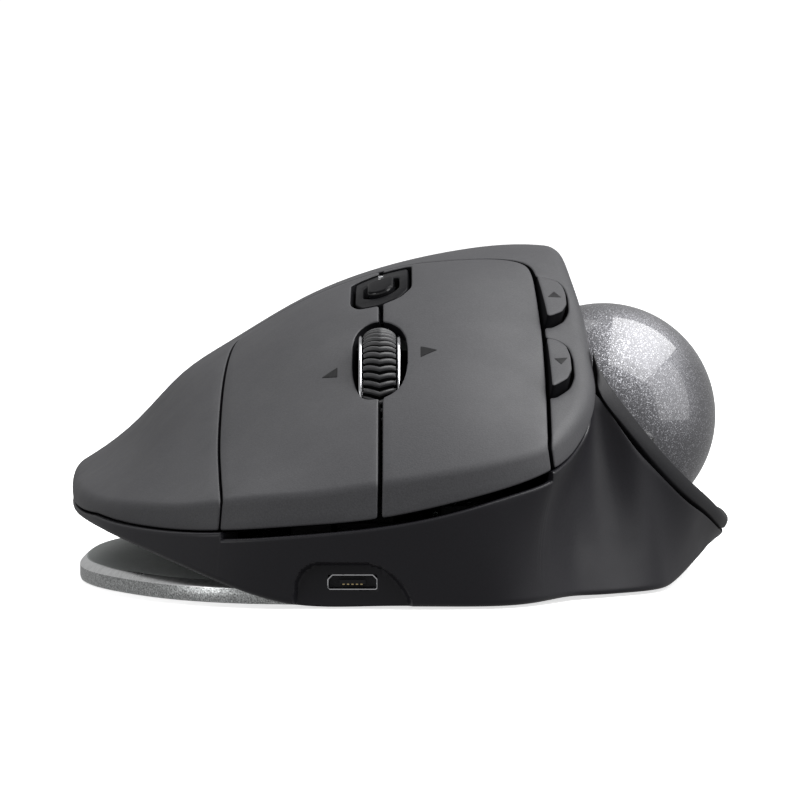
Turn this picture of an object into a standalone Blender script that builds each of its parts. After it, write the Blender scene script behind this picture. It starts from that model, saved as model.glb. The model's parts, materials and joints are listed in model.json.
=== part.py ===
"""Thumb-operated trackball mouse on a tilting steel base plate.

Frame: origin on the desk under the hand, +X to the thumb side, +Y to the palm, +Z up. The nose points to -Y.
Every dimension below is in millimetres, and MM turns it into Blender's metres.
"""

import math

import bmesh
import bpy
import numpy as np
from mathutils import Vector

MM = 0.001

# Driving dimensions
GAP = 0.3
WALL = 1.6
BALL_CENTRE = (30.8, -8.0, 25.0)
BALL_RADIUS = 17.0
CUP_INNER, CUP_OUTER = 17.45, 18.75
BALL_AXIS = (0.77, 0.0, 0.638)
BALL_SPIN = (-0.638, 0.0, 0.77)
TILT_X, TILT_Z, TILT_DEG = -20.0, 4.9, 20.0
PLATE_FOOT, PLATE_TOP = 0.8, 3.4
UNDERSIDE, FLOOR = 4.1, 1.5
LUG_Y = (-28.0, 28.0)
WHEEL_CENTRE = (-3.0, -34.0, 27.2)
WHEEL_RADIUS = 12.4
SLOT_Y, SLOT_WIDTH = (-47.9, -26.7), 7.54
CARRIER_Z, YOKE_Z = 13.2, 10.8
YOKE_PIVOT = (-3.0, -14.0, 11.8)
BOARD_Z, SWITCH_TOP, PRESS_ROOM = 6.8, 14.2, 0.6
USB_CENTRE = (-6.9, -59.0, 3.9)
PRECISION_AXIS = (0.35, -0.25, 0.9)
PRECISION_CENTRE = (35.8, -29.3, 22.6)
SENSOR_AXIS = (-0.92, 0.0, -0.39)
SLIDER_CENTRE = (26.0, 20.5, 5.2)
SCOOP = 7.0
SCREWS = ((15.0, -52.3), (-15.0, -52.3), (34.0, 30.0), (-2.0, 54.0))
STATIONS = 52

# Height of the top surface over a plan grid: a column for each X, a row for each Y.
GRID_X = (-52, -46, -40, -34, -27, -15, -3, 9, 22, 34)
GRID_Y = (-70, -58, -46, -32, -18, -4, 10, 24, 38, 52, 66)
HEIGHTS = (
    (-14.0, -7.0, -2.5, 2.5, 8.0, 9.8, 11.8, 14.6, 15.5, 13.0),
    (-4.0, 1.0, 5.3, 9.8, 14.2, 18.9, 22.8, 24.8, 23.6, 21.2),
    (3.0, 7.5, 11.4, 15.2, 19.4, 26.2, 31.0, 32.7, 30.2, 29.0),
    (9.0, 12.4, 16.4, 20.9, 25.7, 33.3, 38.3, 40.0, 37.4, 35.0),
    (11.8, 15.6, 20.0, 26.0, 31.6, 39.2, 44.2, 46.2, 44.0, 41.0),
    (13.4, 17.5, 22.4, 29.3, 34.4, 41.5, 46.5, 49.1, 49.2, 46.2),
    (15.0, 18.7, 23.6, 29.9, 34.8, 41.9, 46.6, 49.3, 50.0, 47.3),
    (14.0, 17.1, 21.9, 28.1, 33.1, 40.2, 45.1, 47.6, 48.0, 45.0),
    (10.5, 14.0, 18.2, 23.2, 28.3, 35.2, 39.8, 41.8, 41.2, 37.5),
    (3.0, 7.0, 11.4, 16.0, 20.6, 26.6, 30.4, 31.8, 30.0, 25.5),
    (-9.0, -3.0, 2.0, 7.0, 11.6, 16.6, 19.6, 20.2, 17.0, 11.0),
)

# Edge of the top surface, round the hand: x, y, height of the lip's lower edge, bend radius, lip angle.
TOP_EDGE = (
    (-3, -62.3, 13.5, 2.2, 82),
    (8, -62.6, 15.9, 2.2, 82),
    (16.5, -60.3, 18.3, 2.2, 82),
    (20.9, -57.0, 20.2, 2.4, 80),
    (23.8, -51.2, 23.1, 2.8, 78),
    (25.9, -42.5, 28.2, 3.2, 78),
    (26.0, -33.5, 33.4, 3.2, 78),
    (25.1, -20, 37.6, 3.2, 80),
    (23.4, -8, 42.6, 3.0, 82),
    (22.5, 2, 40.9, 3.0, 82),
    (22.1, 14, 37.0, 3.4, 80),
    (23.3, 28, 31.0, 4.0, 78),
    (25.2, 42, 23.2, 4.5, 78),
    (20, 55.5, 15.2, 5.0, 80),
    (5, 63, 12.0, 5.0, 82),
    (-12, 63, 11.0, 5.0, 82),
    (-28, 56, 11.0, 4.5, 82),
    (-40, 42.5, 11.2, 4.0, 88),
    (-46.3, 27, 12.2, 3.4, 94),
    (-48.6, 10, 13.6, 3.0, 98),
    (-48.4, -6, 13.4, 3.0, 98),
    (-46.2, -22, 12.3, 2.8, 94),
    (-41.8, -34.5, 11.3, 2.5, 88),
    (-35.5, -45, 10.9, 2.3, 84),
    (-26, -55.2, 11.2, 2.2, 82),
    (-15, -60.2, 12.2, 2.2, 82),
)

# Lower housing, round the hand: x, y, z of its top edge, then of its foot, and how far its waist is drawn in.
HOUSING = (
    (-3.3, -64.2, 12.2, -3.3, -61, 0.4, 0.0),
    (8, -64.4, 14.4, 8, -60.8, 0.4, 0.0),
    (17.3, -61.8, 17.0, 16.5, -58.6, 0.4, 0.3),
    (22.2, -58.8, 18.6, 20.5, -54.8, 0.5, 1.2),
    (26.0, -52.4, 21.8, 24.5, -48.5, 0.7, 2.4),
    (28.2, -44, 26.6, 29.0, -42.5, 0.6, 2.4),
    (28.8, -38.5, 30.3, 33.5, -38.5, 0.5, 1.2),
    (32.8, -37.3, 24.8, 37.5, -34, 0.5, 0.4),
    (37.6, -33.5, 19.0, 40.5, -28, 0.7, 0.2),
    (42.5, -27, 13.8, 43.2, -20, 2.2, 0.0),
    (45.5, -20, 11.2, 45.6, -13, 4.0, 0.0),
    (49.1, -6, 7.3, 47.7, -4, 5.6, 0.0),
    (49.4, 6, 7.2, 47.7, 8, 4.0, 0.0),
    (46.8, 21, 7.3, 44.8, 21, 1.0, 0.0),
    (41, 36, 7.6, 39, 35, 0.5, 0.0),
    (32.5, 49, 8.3, 31, 46.5, 0.5, 0.0),
    (20, 61, 10.0, 19, 58, 0.5, 0.0),
    (5, 67.1, 10.8, 5, 64, 0.5, 0.0),
    (-12, 66.9, 10.3, -11, 64, 0.5, 0.0),
    (-29, 59.5, 10.3, -27, 58, 3.4, 0.0),
    (-42, 45.5, 10.6, -39.5, 45.5, 7.6, 0.0),
    (-48.4, 28.5, 11.4, -47, 29, 10.0, 0.0),
    (-49.9, 10, 12.5, -49.5, 10.5, 11.6, 0.0),
    (-49.8, -6, 11.8, -49.4, -6.5, 10.9, 0.0),
    (-47.8, -22.5, 11.1, -47.3, -23.5, 10.2, 0.0),
    (-43.4, -35.5, 10.6, -43, -36.5, 9.0, 0.0),
    (-36.6, -46.8, 10.2, -36.5, -47, 7.0, 0.0),
    (-27, -57.2, 10.0, -27.5, -56, 3.9, 0.0),
    (-15.5, -62.4, 10.9, -16, -60.5, 0.7, 0.0),
)

# Rim of the thumb side, front to back: x, y, z of its lower line, then of its upper line.
RIM = (
    (28.9, -31.0, 34.9, 28.6, -30.0, 36.4),
    (29.2, -35.3, 32.4, 29.3, -34.0, 34.0),
    (29.3, -37.8, 30.6, 30.8, -36.0, 31.5),
    (33.1, -37.2, 25.1, 34.9, -35.4, 26.1),
    (37.9, -33.3, 19.3, 39.6, -31.6, 20.4),
    (42.8, -26.8, 14.2, 44.2, -24.8, 15.6),
    (45.8, -19.8, 11.6, 46.9, -18.2, 12.9),
    (49.2, -6.0, 7.7, 49.9, -5.0, 9.3),
    (49.5, 6.0, 7.6, 49.7, 6.0, 9.6),
    (47.1, 21.0, 7.7, 47.0, 20.6, 9.8),
    (41.3, 36.0, 8.0, 40.9, 35.4, 10.6),
    (33.0, 48.8, 8.8, 32.4, 48.0, 11.6),
    (26.4, 55.9, 9.7, 25.9, 55.1, 12.0),
)

# Upper edge of the thumb rest, a point for each point of RIM.
REST_EDGE = (
    (28.5, -26.4, 35.6),
    (28.7, -25.2, 35.0),
    (28.4, -22.8, 35.4),
    (27.3, -19.6, 36.7),
    (25.9, -14.5, 38.7),
    (24.9, -8.5, 40.6),
    (24.4, -1.0, 40.0),
    (24.4, 6.0, 38.6),
    (25.3, 15.0, 35.6),
    (27.1, 26.0, 30.6),
    (29.0, 37.0, 25.2),
    (27.4, 46.6, 19.6),
    (22.6, 53.6, 14.6),
)

PLATE_EDGE = (
    (-48.6, -6),
    (-47.8, -14),
    (-44.8, -25),
    (-40.6, -34),
    (-36.2, -41.2),
    (-30, -47.8),
    (-24, -51.4),
    (-16, -53.2),
    (-4, -53.8),
    (8, -53),
    (15, -49),
    (18.5, -41),
    (19, -26),
    (18.5, 0),
    (18.8, 20),
    (16, 36),
    (8, 48),
    (-6, 54),
    (-20, 54),
    (-32, 48.5),
    (-41, 38.5),
    (-46, 26),
    (-48.4, 9),
)

# Outlines in plan. The main buttons run on past the nose, where the top surface ends them.
NOSE = -75.0
SEAM = 0.35
CENTRE_SEAM_X = -2.9
THUMB_SEAM = (
    (21.9, NOSE),
    (21.8, -50),
    (21.7, -40),
    (21.4, -30),
    (20.8, -20),
    (20.2, -12.6),
    (19.2, -9.6),
)
BACK_SEAM = (
    (16, -8.2),
    (7, -8.4),
    (1.5, -4.6),
    (CENTRE_SEAM_X, -3.0),
    (-8, -1.2),
    (-16, 1.8),
    (-22.6, 2.6),
)
PINKY_SEAM = (
    (-25.0, 0.2),
    (-26.0, -12),
    (-26.7, -24),
    (-26.9, -38),
    (-26.5, -48),
    (-25.9, -58),
    (-25.6, NOSE),
)
FORWARD_KEY = (
    (23.3, -14),
    (24.3, -15.4),
    (24.7, -18),
    (24.7, -22),
    (23.9, -25),
    (22.2, -27.4),
    (21.7, -20),
    (21.2, -14),
)
BACK_KEY = (
    (23.4, -31.4),
    (24.6, -32.6),
    (25.1, -35.5),
    (25.2, -40),
    (24.5, -43),
    (22.6, -45.6),
    (22.2, -38),
    (22.0, -31.4),
)
BEZEL = (
    (1.1, -6.6),
    (-2.4, -5.6),
    (-6.8, -7.6),
    (-6.9, -19.2),
    (-5.8, -21.6),
    (-3.2, -22.4),
    (-0.4, -21.6),
    (1.1, -19.2),
)
SELECTOR = ((-1.0, -12.3), (-4.9, -12.3), (-4.9, -17.6), (-3.4, -18.8), (-1.8, -18.6), (-1.0, -17.2))
LED_Y = (-7.9, -10.5)


def clear_scene():
    for old in list(bpy.data.objects):
        bpy.data.objects.remove(old, do_unlink=True)


clear_scene()
PARTS = bpy.data.collections.new("trackball_mouse")
CUTTERS = bpy.data.collections.new("cutters")
bpy.context.scene.collection.children.link(PARTS)
bpy.context.scene.collection.children.link(CUTTERS)


def material(name, colour, roughness, metallic=0.0):
    made = bpy.data.materials.new(name)
    made.use_nodes = True
    shader = made.node_tree.nodes["Principled BSDF"]
    shader.inputs["Base Color"].default_value = (*colour, 1)
    shader.inputs["Roughness"].default_value = roughness
    shader.inputs["Metallic"].default_value = metallic
    return made


SOFT_TOUCH = material("soft_touch", (0.085, 0.085, 0.09), 0.62)
SATIN_BLACK = material("satin_black", (0.035, 0.035, 0.04), 0.42)
GLOSS_BLACK = material("gloss_black", (0.012, 0.012, 0.014), 0.15)
BALL_LACQUER = material("ball_lacquer", (0.12, 0.12, 0.13), 0.22, 0.5)
STEEL = material("steel", (0.42, 0.44, 0.44), 0.32, 1.0)
CHROME = material("chrome", (0.8, 0.8, 0.82), 0.12, 1.0)
RUBBER = material("rubber", (0.02, 0.02, 0.022), 0.7)
CERAMIC = material("ceramic", (0.82, 0.8, 0.76), 0.2)
BOARD = material("board", (0.02, 0.12, 0.06), 0.5)
CELL = material("cell", (0.35, 0.36, 0.38), 0.4, 0.6)
CLEAR = material("clear", (0.75, 0.76, 0.78), 0.1)


# Curves and surfaces


class Spline:
    """Natural cubic through points, one for each knot, and straight beyond its ends."""

    def __init__(self, knots, points):
        self.knots = np.array(knots, float)
        self.points = np.array(points, float)
        step = np.diff(self.knots)
        bend = np.eye(len(self.knots))
        pull = np.zeros_like(bend)
        for i in range(1, len(step)):
            bend[i, i - 1 : i + 2] = step[i - 1], 2 * (step[i - 1] + step[i]), step[i]
            pull[i, i - 1 : i + 2] = 6 / step[i - 1], -6 / step[i - 1] - 6 / step[i], 6 / step[i]
        self.curvature = np.linalg.solve(bend, pull) @ self.points

    def __call__(self, at):
        inside = np.clip(at, self.knots[0], self.knots[-1])
        i = np.clip(np.searchsorted(self.knots, inside) - 1, 0, len(self.knots) - 2)
        step = (self.knots[i + 1] - self.knots[i])[:, None]
        b = (inside - self.knots[i])[:, None] / step
        a = 1 - b
        low, high = self.points[i], self.points[i + 1]
        low_bend, high_bend = self.curvature[i], self.curvature[i + 1]
        value = a * low + b * high + ((a**3 - a) * low_bend + (b**3 - b) * high_bend) * step**2 / 6
        slope = (high - low) / step + ((1 - 3 * a**2) * low_bend + (3 * b**2 - 1) * high_bend) * step / 6
        return value + slope * (at - inside)[:, None]


TOP_ROWS = Spline(GRID_Y, np.eye(len(GRID_Y)))
TOP_COLUMNS = Spline(GRID_X, np.eye(len(GRID_X)))


def top_height(x, y):
    """Height of the top surface over the points of two arrays."""
    return np.sum(TOP_ROWS(y) @ np.array(HEIGHTS) * TOP_COLUMNS(x), axis=1)


def height_at(x, y):
    return float(top_height(np.array([float(x)]), np.array([float(y)]))[0])


def top_normal(x, y):
    step = 0.05
    slope_x = (top_height(x + step, y) - top_height(x - step, y)) / (2 * step)
    slope_y = (top_height(x, y + step) - top_height(x, y - step)) / (2 * step)
    normal = np.column_stack([-slope_x, -slope_y, np.ones(len(x))])
    return normal / np.linalg.norm(normal, axis=1, keepdims=True)


def along(points, count):
    """count points spaced evenly on a smooth open curve through these."""
    points = np.array(points, float)
    knots = np.concatenate([[0], np.cumsum(np.linalg.norm(np.diff(points, axis=0), axis=1))])
    return Spline(knots, points)(np.linspace(0, knots[-1], count))


def around(points, count):
    """count points spaced evenly on a smooth closed curve through these, whose first columns are x and y."""
    points = np.array(points, float)
    lap = 4
    wrapped = np.concatenate([points[-lap:], points, points[: lap + 1]])
    knots = np.concatenate([[0], np.cumsum(np.linalg.norm(np.diff(wrapped[:, :2], axis=0), axis=1))])
    return Spline(knots, wrapped)(np.linspace(knots[lap], knots[lap + len(points)], count, endpoint=False))


def outward(ring):
    """The unit normal in plan at each point of a closed ring that runs anticlockwise."""
    run = np.roll(ring[:, :2], -1, axis=0) - np.roll(ring[:, :2], 1, axis=0)
    return np.column_stack([run[:, 1], -run[:, 0]]) / np.linalg.norm(run, axis=1, keepdims=True)


def grown(outline, by):
    """A polygon moved outwards all round, with mitred corners."""
    ring = np.array(outline, float)
    area = np.sum(ring[:, 0] * np.roll(ring[:, 1], -1) - np.roll(ring[:, 0], -1) * ring[:, 1])
    if area < 0:
        ring = ring[::-1]
    mitre = np.zeros_like(ring)
    for run in (ring - np.roll(ring, 1, axis=0), np.roll(ring, -1, axis=0) - ring):
        mitre += np.column_stack([run[:, 1], -run[:, 0]]) / np.linalg.norm(run, axis=1, keepdims=True)
    return ring + by * mitre / (np.sum(mitre**2, axis=1, keepdims=True) / 2)


# Mesh helpers


def add_object(name, mesh, surface=None):
    """A part with its material or, with none, a cutter."""
    made = bpy.data.objects.new(name, mesh)
    if surface is None:
        CUTTERS.objects.link(made)
        made.hide_render = True
        made.display_type = "WIRE"
    else:
        PARTS.objects.link(made)
        mesh.materials.append(surface)
    return made


def smooth(mesh):
    mesh.shade_smooth()
    mesh.set_sharp_from_angle(angle=math.radians(35))
    return mesh


def mesh_from(name, points, faces):
    mesh = bpy.data.meshes.new(name)
    mesh.from_pydata([tuple(float(c) * MM for c in p) for p in points], [], faces)
    shape = bmesh.new()
    shape.from_mesh(mesh)
    bmesh.ops.recalc_face_normals(shape, faces=shape.faces)
    shape.to_mesh(mesh)
    shape.free()
    return smooth(mesh)


def loft(name, rings, closed=False, peaked=False):
    """A skin over rings of equal length, capped at both ends or, when closed, joined last to first.

    A peaked cap has a point in its middle, for an end that isn't flat.
    """
    count, last = len(rings[0]), len(rings)
    faces = []
    for k in range(last if closed else last - 1):
        low, high = k * count, (k + 1) % last * count
        for i in range(count):
            j = (i + 1) % count
            faces.append((low + i, low + j, high + j, high + i))
    points = [point for ring in rings for point in ring]
    for end in () if closed else (0, (last - 1) * count):
        if peaked:
            points.append(np.mean(points[end : end + count], axis=0))
            faces.extend((end + i, end + (i + 1) % count, len(points) - 1) for i in range(count))
        else:
            faces.append(tuple(range(end, end + count)))
    return mesh_from(name, points, faces)


def prism(name, outline, low=-5.0, high=70.0):
    return add_object(name, loft(name, [[(x, y, z) for x, y in outline] for z in (low, high)]))


def facing(direction):
    """The rotation that points local +Z along a direction."""
    return Vector(direction).to_track_quat("Z", "Y").to_euler()


def place(name, shape, centre, direction, surface):
    mesh = bpy.data.meshes.new(name)
    shape.to_mesh(mesh)
    shape.free()
    made = add_object(name, smooth(mesh), surface)
    made.location = Vector(centre) * MM
    made.rotation_euler = facing(direction)
    return made


def box(name, size, centre, surface=None, direction=(0, 0, 1), bevel=0.0):
    shape = bmesh.new()
    bmesh.ops.create_cube(shape, size=1)
    bmesh.ops.scale(shape, vec=Vector(size) * MM, verts=shape.verts)
    if bevel:
        bmesh.ops.bevel(shape, geom=shape.edges[:], offset=bevel * MM, segments=1, affect="EDGES")
    return place(name, shape, centre, direction, surface)


def cylinder(name, radius, length, centre, surface=None, direction=(0, 0, 1), sides=24, bevel=0.0):
    shape = bmesh.new()
    size = radius * MM
    bmesh.ops.create_cone(shape, cap_ends=True, segments=sides, radius1=size, radius2=size, depth=length * MM)
    if bevel:
        rims = []
        for edge in shape.edges:
            first, second = edge.link_faces
            if len(first.verts) != len(second.verts):
                rims.append(edge)
        bmesh.ops.bevel(shape, geom=rims, offset=bevel * MM, segments=1, affect="EDGES")
    return place(name, shape, centre, direction, surface)


def ball(name, radius, centre, surface=None, direction=(0, 0, 1), sides=36, levels=20):
    shape = bmesh.new()
    bmesh.ops.create_uvsphere(shape, u_segments=sides, v_segments=levels, radius=radius * MM)
    return place(name, shape, centre, direction, surface)


def turned(name, profile, centre, direction, surface, steps):
    """A profile of (radius, height) turned round an axis.

    The profile runs from its inner end over the top and down its outer side.
    """
    mesh = bpy.data.meshes.new(name)
    edges = [(i, i + 1) for i in range(len(profile) - 1)]
    if profile[0][0] > 0:
        edges.append((len(profile) - 1, 0))
    mesh.from_pydata([(r * MM, 0, h * MM) for r, h in profile], edges, [])
    made = add_object(name, mesh, surface)
    screw = made.modifiers.new("turn", "SCREW")
    screw.steps = screw.render_steps = steps
    screw.use_merge_vertices = True
    screw.merge_threshold = 0.000001
    made.location = Vector(centre) * MM
    made.rotation_euler = facing(direction)
    return made


def boolean(target, other, operation="DIFFERENCE", solver="EXACT"):
    cut = target.modifiers.new(other.name, "BOOLEAN")
    cut.object = other
    cut.operation = operation
    cut.solver = solver


def off_ball(direction, distance):
    """The point at a distance from the ball's centre."""
    return Vector(BALL_CENTRE) + Vector(direction).normalized() * distance


# The top: cover, main buttons, thumb keys and selector, all cut from one curved shell


def top_shell(name, lift=0.0, wall=WALL):
    """The whole top from its middle over the bend to the lip's lower edge, as a shell of even wall."""
    edge = around(TOP_EDGE, STATIONS)
    normal = outward(edge)
    middle = np.array((-8.0, 0.0))
    rings, normals = [], []
    for share in (0.02, 0.3, 0.55, 0.76, 0.9, 1.0):
        plan = middle + share * (edge[:, :2] - middle)
        rings.append(np.column_stack([plan, top_height(plan[:, 0], plan[:, 1])]))
        normals.append(top_normal(plan[:, 0], plan[:, 1]))
    start, up = rings[-1], normals[-1]
    first = np.arctan2(np.sum(up[:, :2] * normal, axis=1), up[:, 2])
    last = np.radians(edge[:, 4])
    for share in (0.33, 0.67, 1.0):
        angle = first + (last - first) * share
        out = edge[:, 3] * (np.sin(angle) - np.sin(first))
        down = edge[:, 3] * (np.cos(angle) - np.cos(first))
        rings.append(np.column_stack([start[:, :2] + out[:, None] * normal, start[:, 2] + down]))
        normals.append(np.column_stack([np.sin(angle)[:, None] * normal, np.cos(angle)]))
    drop = np.maximum(rings[-1][:, 2] - edge[:, 2], 0.5) / np.sin(last)
    fall = np.column_stack([np.cos(last)[:, None] * normal, -np.sin(last)])
    rings.append(rings[-1] + fall * drop[:, None])
    normals.append(normals[-1])
    outer = [ring + lift * up for ring, up in zip(rings, normals)]
    inner = [ring + (lift - wall) * up for ring, up in zip(rings, normals)]
    return loft(name, inner + outer[::-1], peaked=True)


def slot_outline(corner=2.3, steps=6):
    """Plan outline of the opening for the wheel, a rectangle with round corners."""
    half_x, half_y = SLOT_WIDTH / 2 - corner, (SLOT_Y[1] - SLOT_Y[0]) / 2 - corner
    points = []
    for quarter, (side_x, side_y) in enumerate(((1, 1), (-1, 1), (-1, -1), (1, -1))):
        for k in range(steps):
            angle = math.pi / 2 * (quarter + k / (steps - 1))
            x = WHEEL_CENTRE[0] + side_x * half_x + corner * math.cos(angle)
            points.append((x, sum(SLOT_Y) / 2 + side_y * half_y + corner * math.sin(angle)))
    return points


def button_outlines():
    """Plan outlines of the thumb-side button, the pinky-side button and both together, seams included."""
    half = SEAM / 2
    split = BACK_SEAM.index((CENTRE_SEAM_X, -3.0))
    left = THUMB_SEAM + BACK_SEAM[: split + 1] + ((CENTRE_SEAM_X, NOSE),)
    right = ((CENTRE_SEAM_X, NOSE),) + BACK_SEAM[split:] + PINKY_SEAM
    return grown(left, -half), grown(right, -half), grown(THUMB_SEAM + BACK_SEAM + PINKY_SEAM, half)


def make_top():
    left, right, both = button_outlines()
    slot = prism("wheel_slot", slot_outline(), low=20)
    bezel_room = prism("bezel_room", grown(BEZEL, GAP), low=20)
    cover = add_object("top_cover", top_shell("top_cover"), SOFT_TOUCH)
    boolean(cover, prism("button_room", both))
    boolean(cover, bezel_room)
    boolean(cover, ball("ball_room_above", CUP_OUTER + GAP, BALL_CENTRE))

    for name, outline, x in (("left_button", left, 9.0), ("right_button", right, -13.0)):
        button = add_object(name, top_shell(name), SOFT_TOUCH)
        boolean(button, prism(name + "_outline", outline), "INTERSECT")
        boolean(button, slot, solver="MANIFOLD")
        boolean(button, bezel_room, solver="MANIFOLD")
        foot = SWITCH_TOP + PRESS_ROOM
        length = height_at(x, -45) - 1.0 - foot
        boolean(button, cylinder(name + "_post", 1.4, length, (x, -45, foot + length / 2), sides=12), "UNION")

    for name, outline in (("forward_button", FORWARD_KEY), ("back_button", BACK_KEY)):
        boolean(cover, prism(name + "_room", grown(outline, GAP), low=15))
        key = add_object(name, top_shell(name, lift=0.8, wall=2.6), SOFT_TOUCH)
        boolean(key, prism(name + "_outline", outline, low=15), "INTERSECT")

    bezel = add_object("selector_bezel", top_shell("selector_bezel"), SATIN_BLACK)
    boolean(bezel, prism("bezel_outline", BEZEL, low=20), "INTERSECT")
    boolean(bezel, prism("selector_room", grown(SELECTOR, GAP), low=20))
    for k, y in enumerate(LED_Y):
        place_z = height_at(CENTRE_SEAM_X, y)
        boolean(bezel, cylinder(f"led_room_{k + 1}", 0.7, 9, (CENTRE_SEAM_X, y, place_z), sides=12))
        cylinder(f"led_window_{k + 1}", 0.38, 1.4, (CENTRE_SEAM_X, y, place_z - 0.8), CLEAR, sides=12)
    selector = add_object("selector_button", top_shell("selector_button", lift=0.3, wall=2.2), GLOSS_BLACK)
    boolean(selector, prism("selector_outline", SELECTOR, low=20), "INTERSECT")


# The lower body: housing with the port recess, and the bottom cover with the hinge tunnel


def housing_rings():
    """Rings of the housing's outer wall from its top edge to its foot."""
    table = around(HOUSING, STATIONS)
    normal = outward(table)
    rings = []
    for share in (0.0, 0.25, 0.5, 0.75, 1.0):
        ring = table[:, 0:3] * (1 - share) + table[:, 3:6] * share
        ring[:, :2] -= normal * (table[:, 6] * 4 * share * (1 - share))[:, None]
        rings.append(ring)
    return rings


def drawn_in(ring, by):
    moved = ring.copy()
    moved[:, :2] -= outward(ring) * np.reshape(by, (-1, 1))
    return moved


def plate_room(name):
    """The room that the base plate takes below the body when the body leans fully to the pinky side."""
    edge = around(PLATE_EDGE, 40)
    edge += outward(edge) * 0.5
    turn = math.radians(TILT_DEG)
    rings = []
    for z in (-3.0, PLATE_TOP + 0.4):
        x, up = edge[:, 0] - TILT_X, z - TILT_Z
        leaned_x = TILT_X + x * math.cos(turn) + up * math.sin(turn)
        leaned_z = TILT_Z - x * math.sin(turn) + up * math.cos(turn)
        rings.append(np.column_stack([leaned_x, edge[:, 1], leaned_z]))
    return add_object(name, loft(name, rings))


def underside(x):
    """Height of the underside, which slopes up on the pinky side of the tilt axis."""
    return UNDERSIDE + np.maximum(0.0, TILT_X - x) * math.tan(math.radians(TILT_DEG))


def make_housing():
    outer = housing_rings()
    inner = [drawn_in(ring, np.where(ring[:, 0] < -38, 1.1, 1.9)) for ring in outer]
    wall = loft("lower_housing", outer + inner[::-1], closed=True)
    housing = add_object("lower_housing", wall, SATIN_BLACK)
    boolean(housing, box("port_bay", (22, 4.6, 8.2), (USB_CENTRE[0], -57.9, 4.6)), "UNION")
    mouth = ((-15.6, 1.2), (-12.4, 7.2), (-3.2, 7.2), (1.8, 1.2))
    recess = loft("port_recess", [[(x, y, z) for x, z in mouth] for y in (-70, USB_CENTRE[1])])
    boolean(housing, add_object("port_recess", recess))
    boolean(housing, box("port_room", (8.2, 12, 3.15), (USB_CENTRE[0], -57, USB_CENTRE[2])))
    boolean(housing, ball("ball_room_below", CUP_OUTER + GAP, BALL_CENTRE))
    boolean(housing, plate_room("plate_room_housing"))
    make_bottom_cover(inner)


def make_bottom_cover(inner_wall):
    middle = np.array((-5.0, 2.0))
    ring = inner_wall[0].copy()
    for other in inner_wall[1:]:
        nearer = np.linalg.norm(other[:, :2] - middle, axis=1) < np.linalg.norm(ring[:, :2] - middle, axis=1)
        ring[nearer] = other[nearer]
    plan = drawn_in(ring, 0.5 + 3.2 * np.clip((-27 - ring[:, 0]) / 8, 0, 1))[:, :2]
    by_port = np.abs(plan[:, 0] - USB_CENTRE[0]) < 15
    plan[:, 1] = np.where(by_port, np.maximum(plan[:, 1], -55.2), plan[:, 1])
    rings = []
    for lift, shares in ((0.0, (0.02, 0.35, 0.7, 1.0)), (FLOOR, (1.0, 0.7, 0.35, 0.02))):
        for share in shares:
            at = middle + share * (plan - middle)
            rings.append(np.column_stack([at, underside(at[:, 0]) + lift]))
    cover = add_object("bottom_cover", loft("bottom_cover", rings, peaked=True), SATIN_BLACK)
    along_y = (0, 1, 0)
    boolean(cover, box("hinge_tunnel", (5.6, 74, 2.6), (TILT_X, 0, 6.6)), "UNION")
    for side in (-1, 1):
        post = (YOKE_PIVOT[0] + side * 10, YOKE_PIVOT[1], 9.5)
        boolean(cover, box(f"yoke_post_{side}", (2.4, 5, 9.4), post), "UNION")
    slider_y = SLIDER_CENTRE[1] + 1.5
    rooms = [
        cylinder("yoke_pivot_room", 1.3, 24.7, YOKE_PIVOT, direction=(1, 0, 0)),
        plate_room("plate_room_cover"),
        cylinder("pin_room", 1.35, 67, (TILT_X, 0, TILT_Z), direction=along_y),
        cylinder("eject_hole", 7.5, 8, (BALL_CENTRE[0], BALL_CENTRE[1], 5), sides=32),
        ball("ball_room_bottom", CUP_OUTER + GAP, BALL_CENTRE),
        box("slider_room", (4.2, 9.6, 6), (SLIDER_CENTRE[0], slider_y, SLIDER_CENTRE[2])),
    ]
    rooms += [box(f"lug_room_{y}", (6.4, 6.2, 9), (TILT_X, y, 6)) for y in LUG_Y]
    rooms += [cylinder(f"screw_room_{k + 1}", 1.3, 8, (x, y, 5), sides=12) for k, (x, y) in enumerate(SCREWS)]
    for room in rooms:
        boolean(cover, room, solver="MANIFOLD")
    for k, (x, y) in enumerate(SCREWS):
        shank = cylinder(f"bottom_screw_{k + 1}", 0.9, 6.0, (x, y, 6.9), STEEL, sides=12)
        seat = (x, y, UNDERSIDE + FLOOR + 0.7)
        boolean(shank, cylinder(f"screw_head_{k + 1}", 1.9, 0.8, seat, sides=16), "UNION")


# The base: steel plate, grip pad and the tilt hinge


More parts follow.
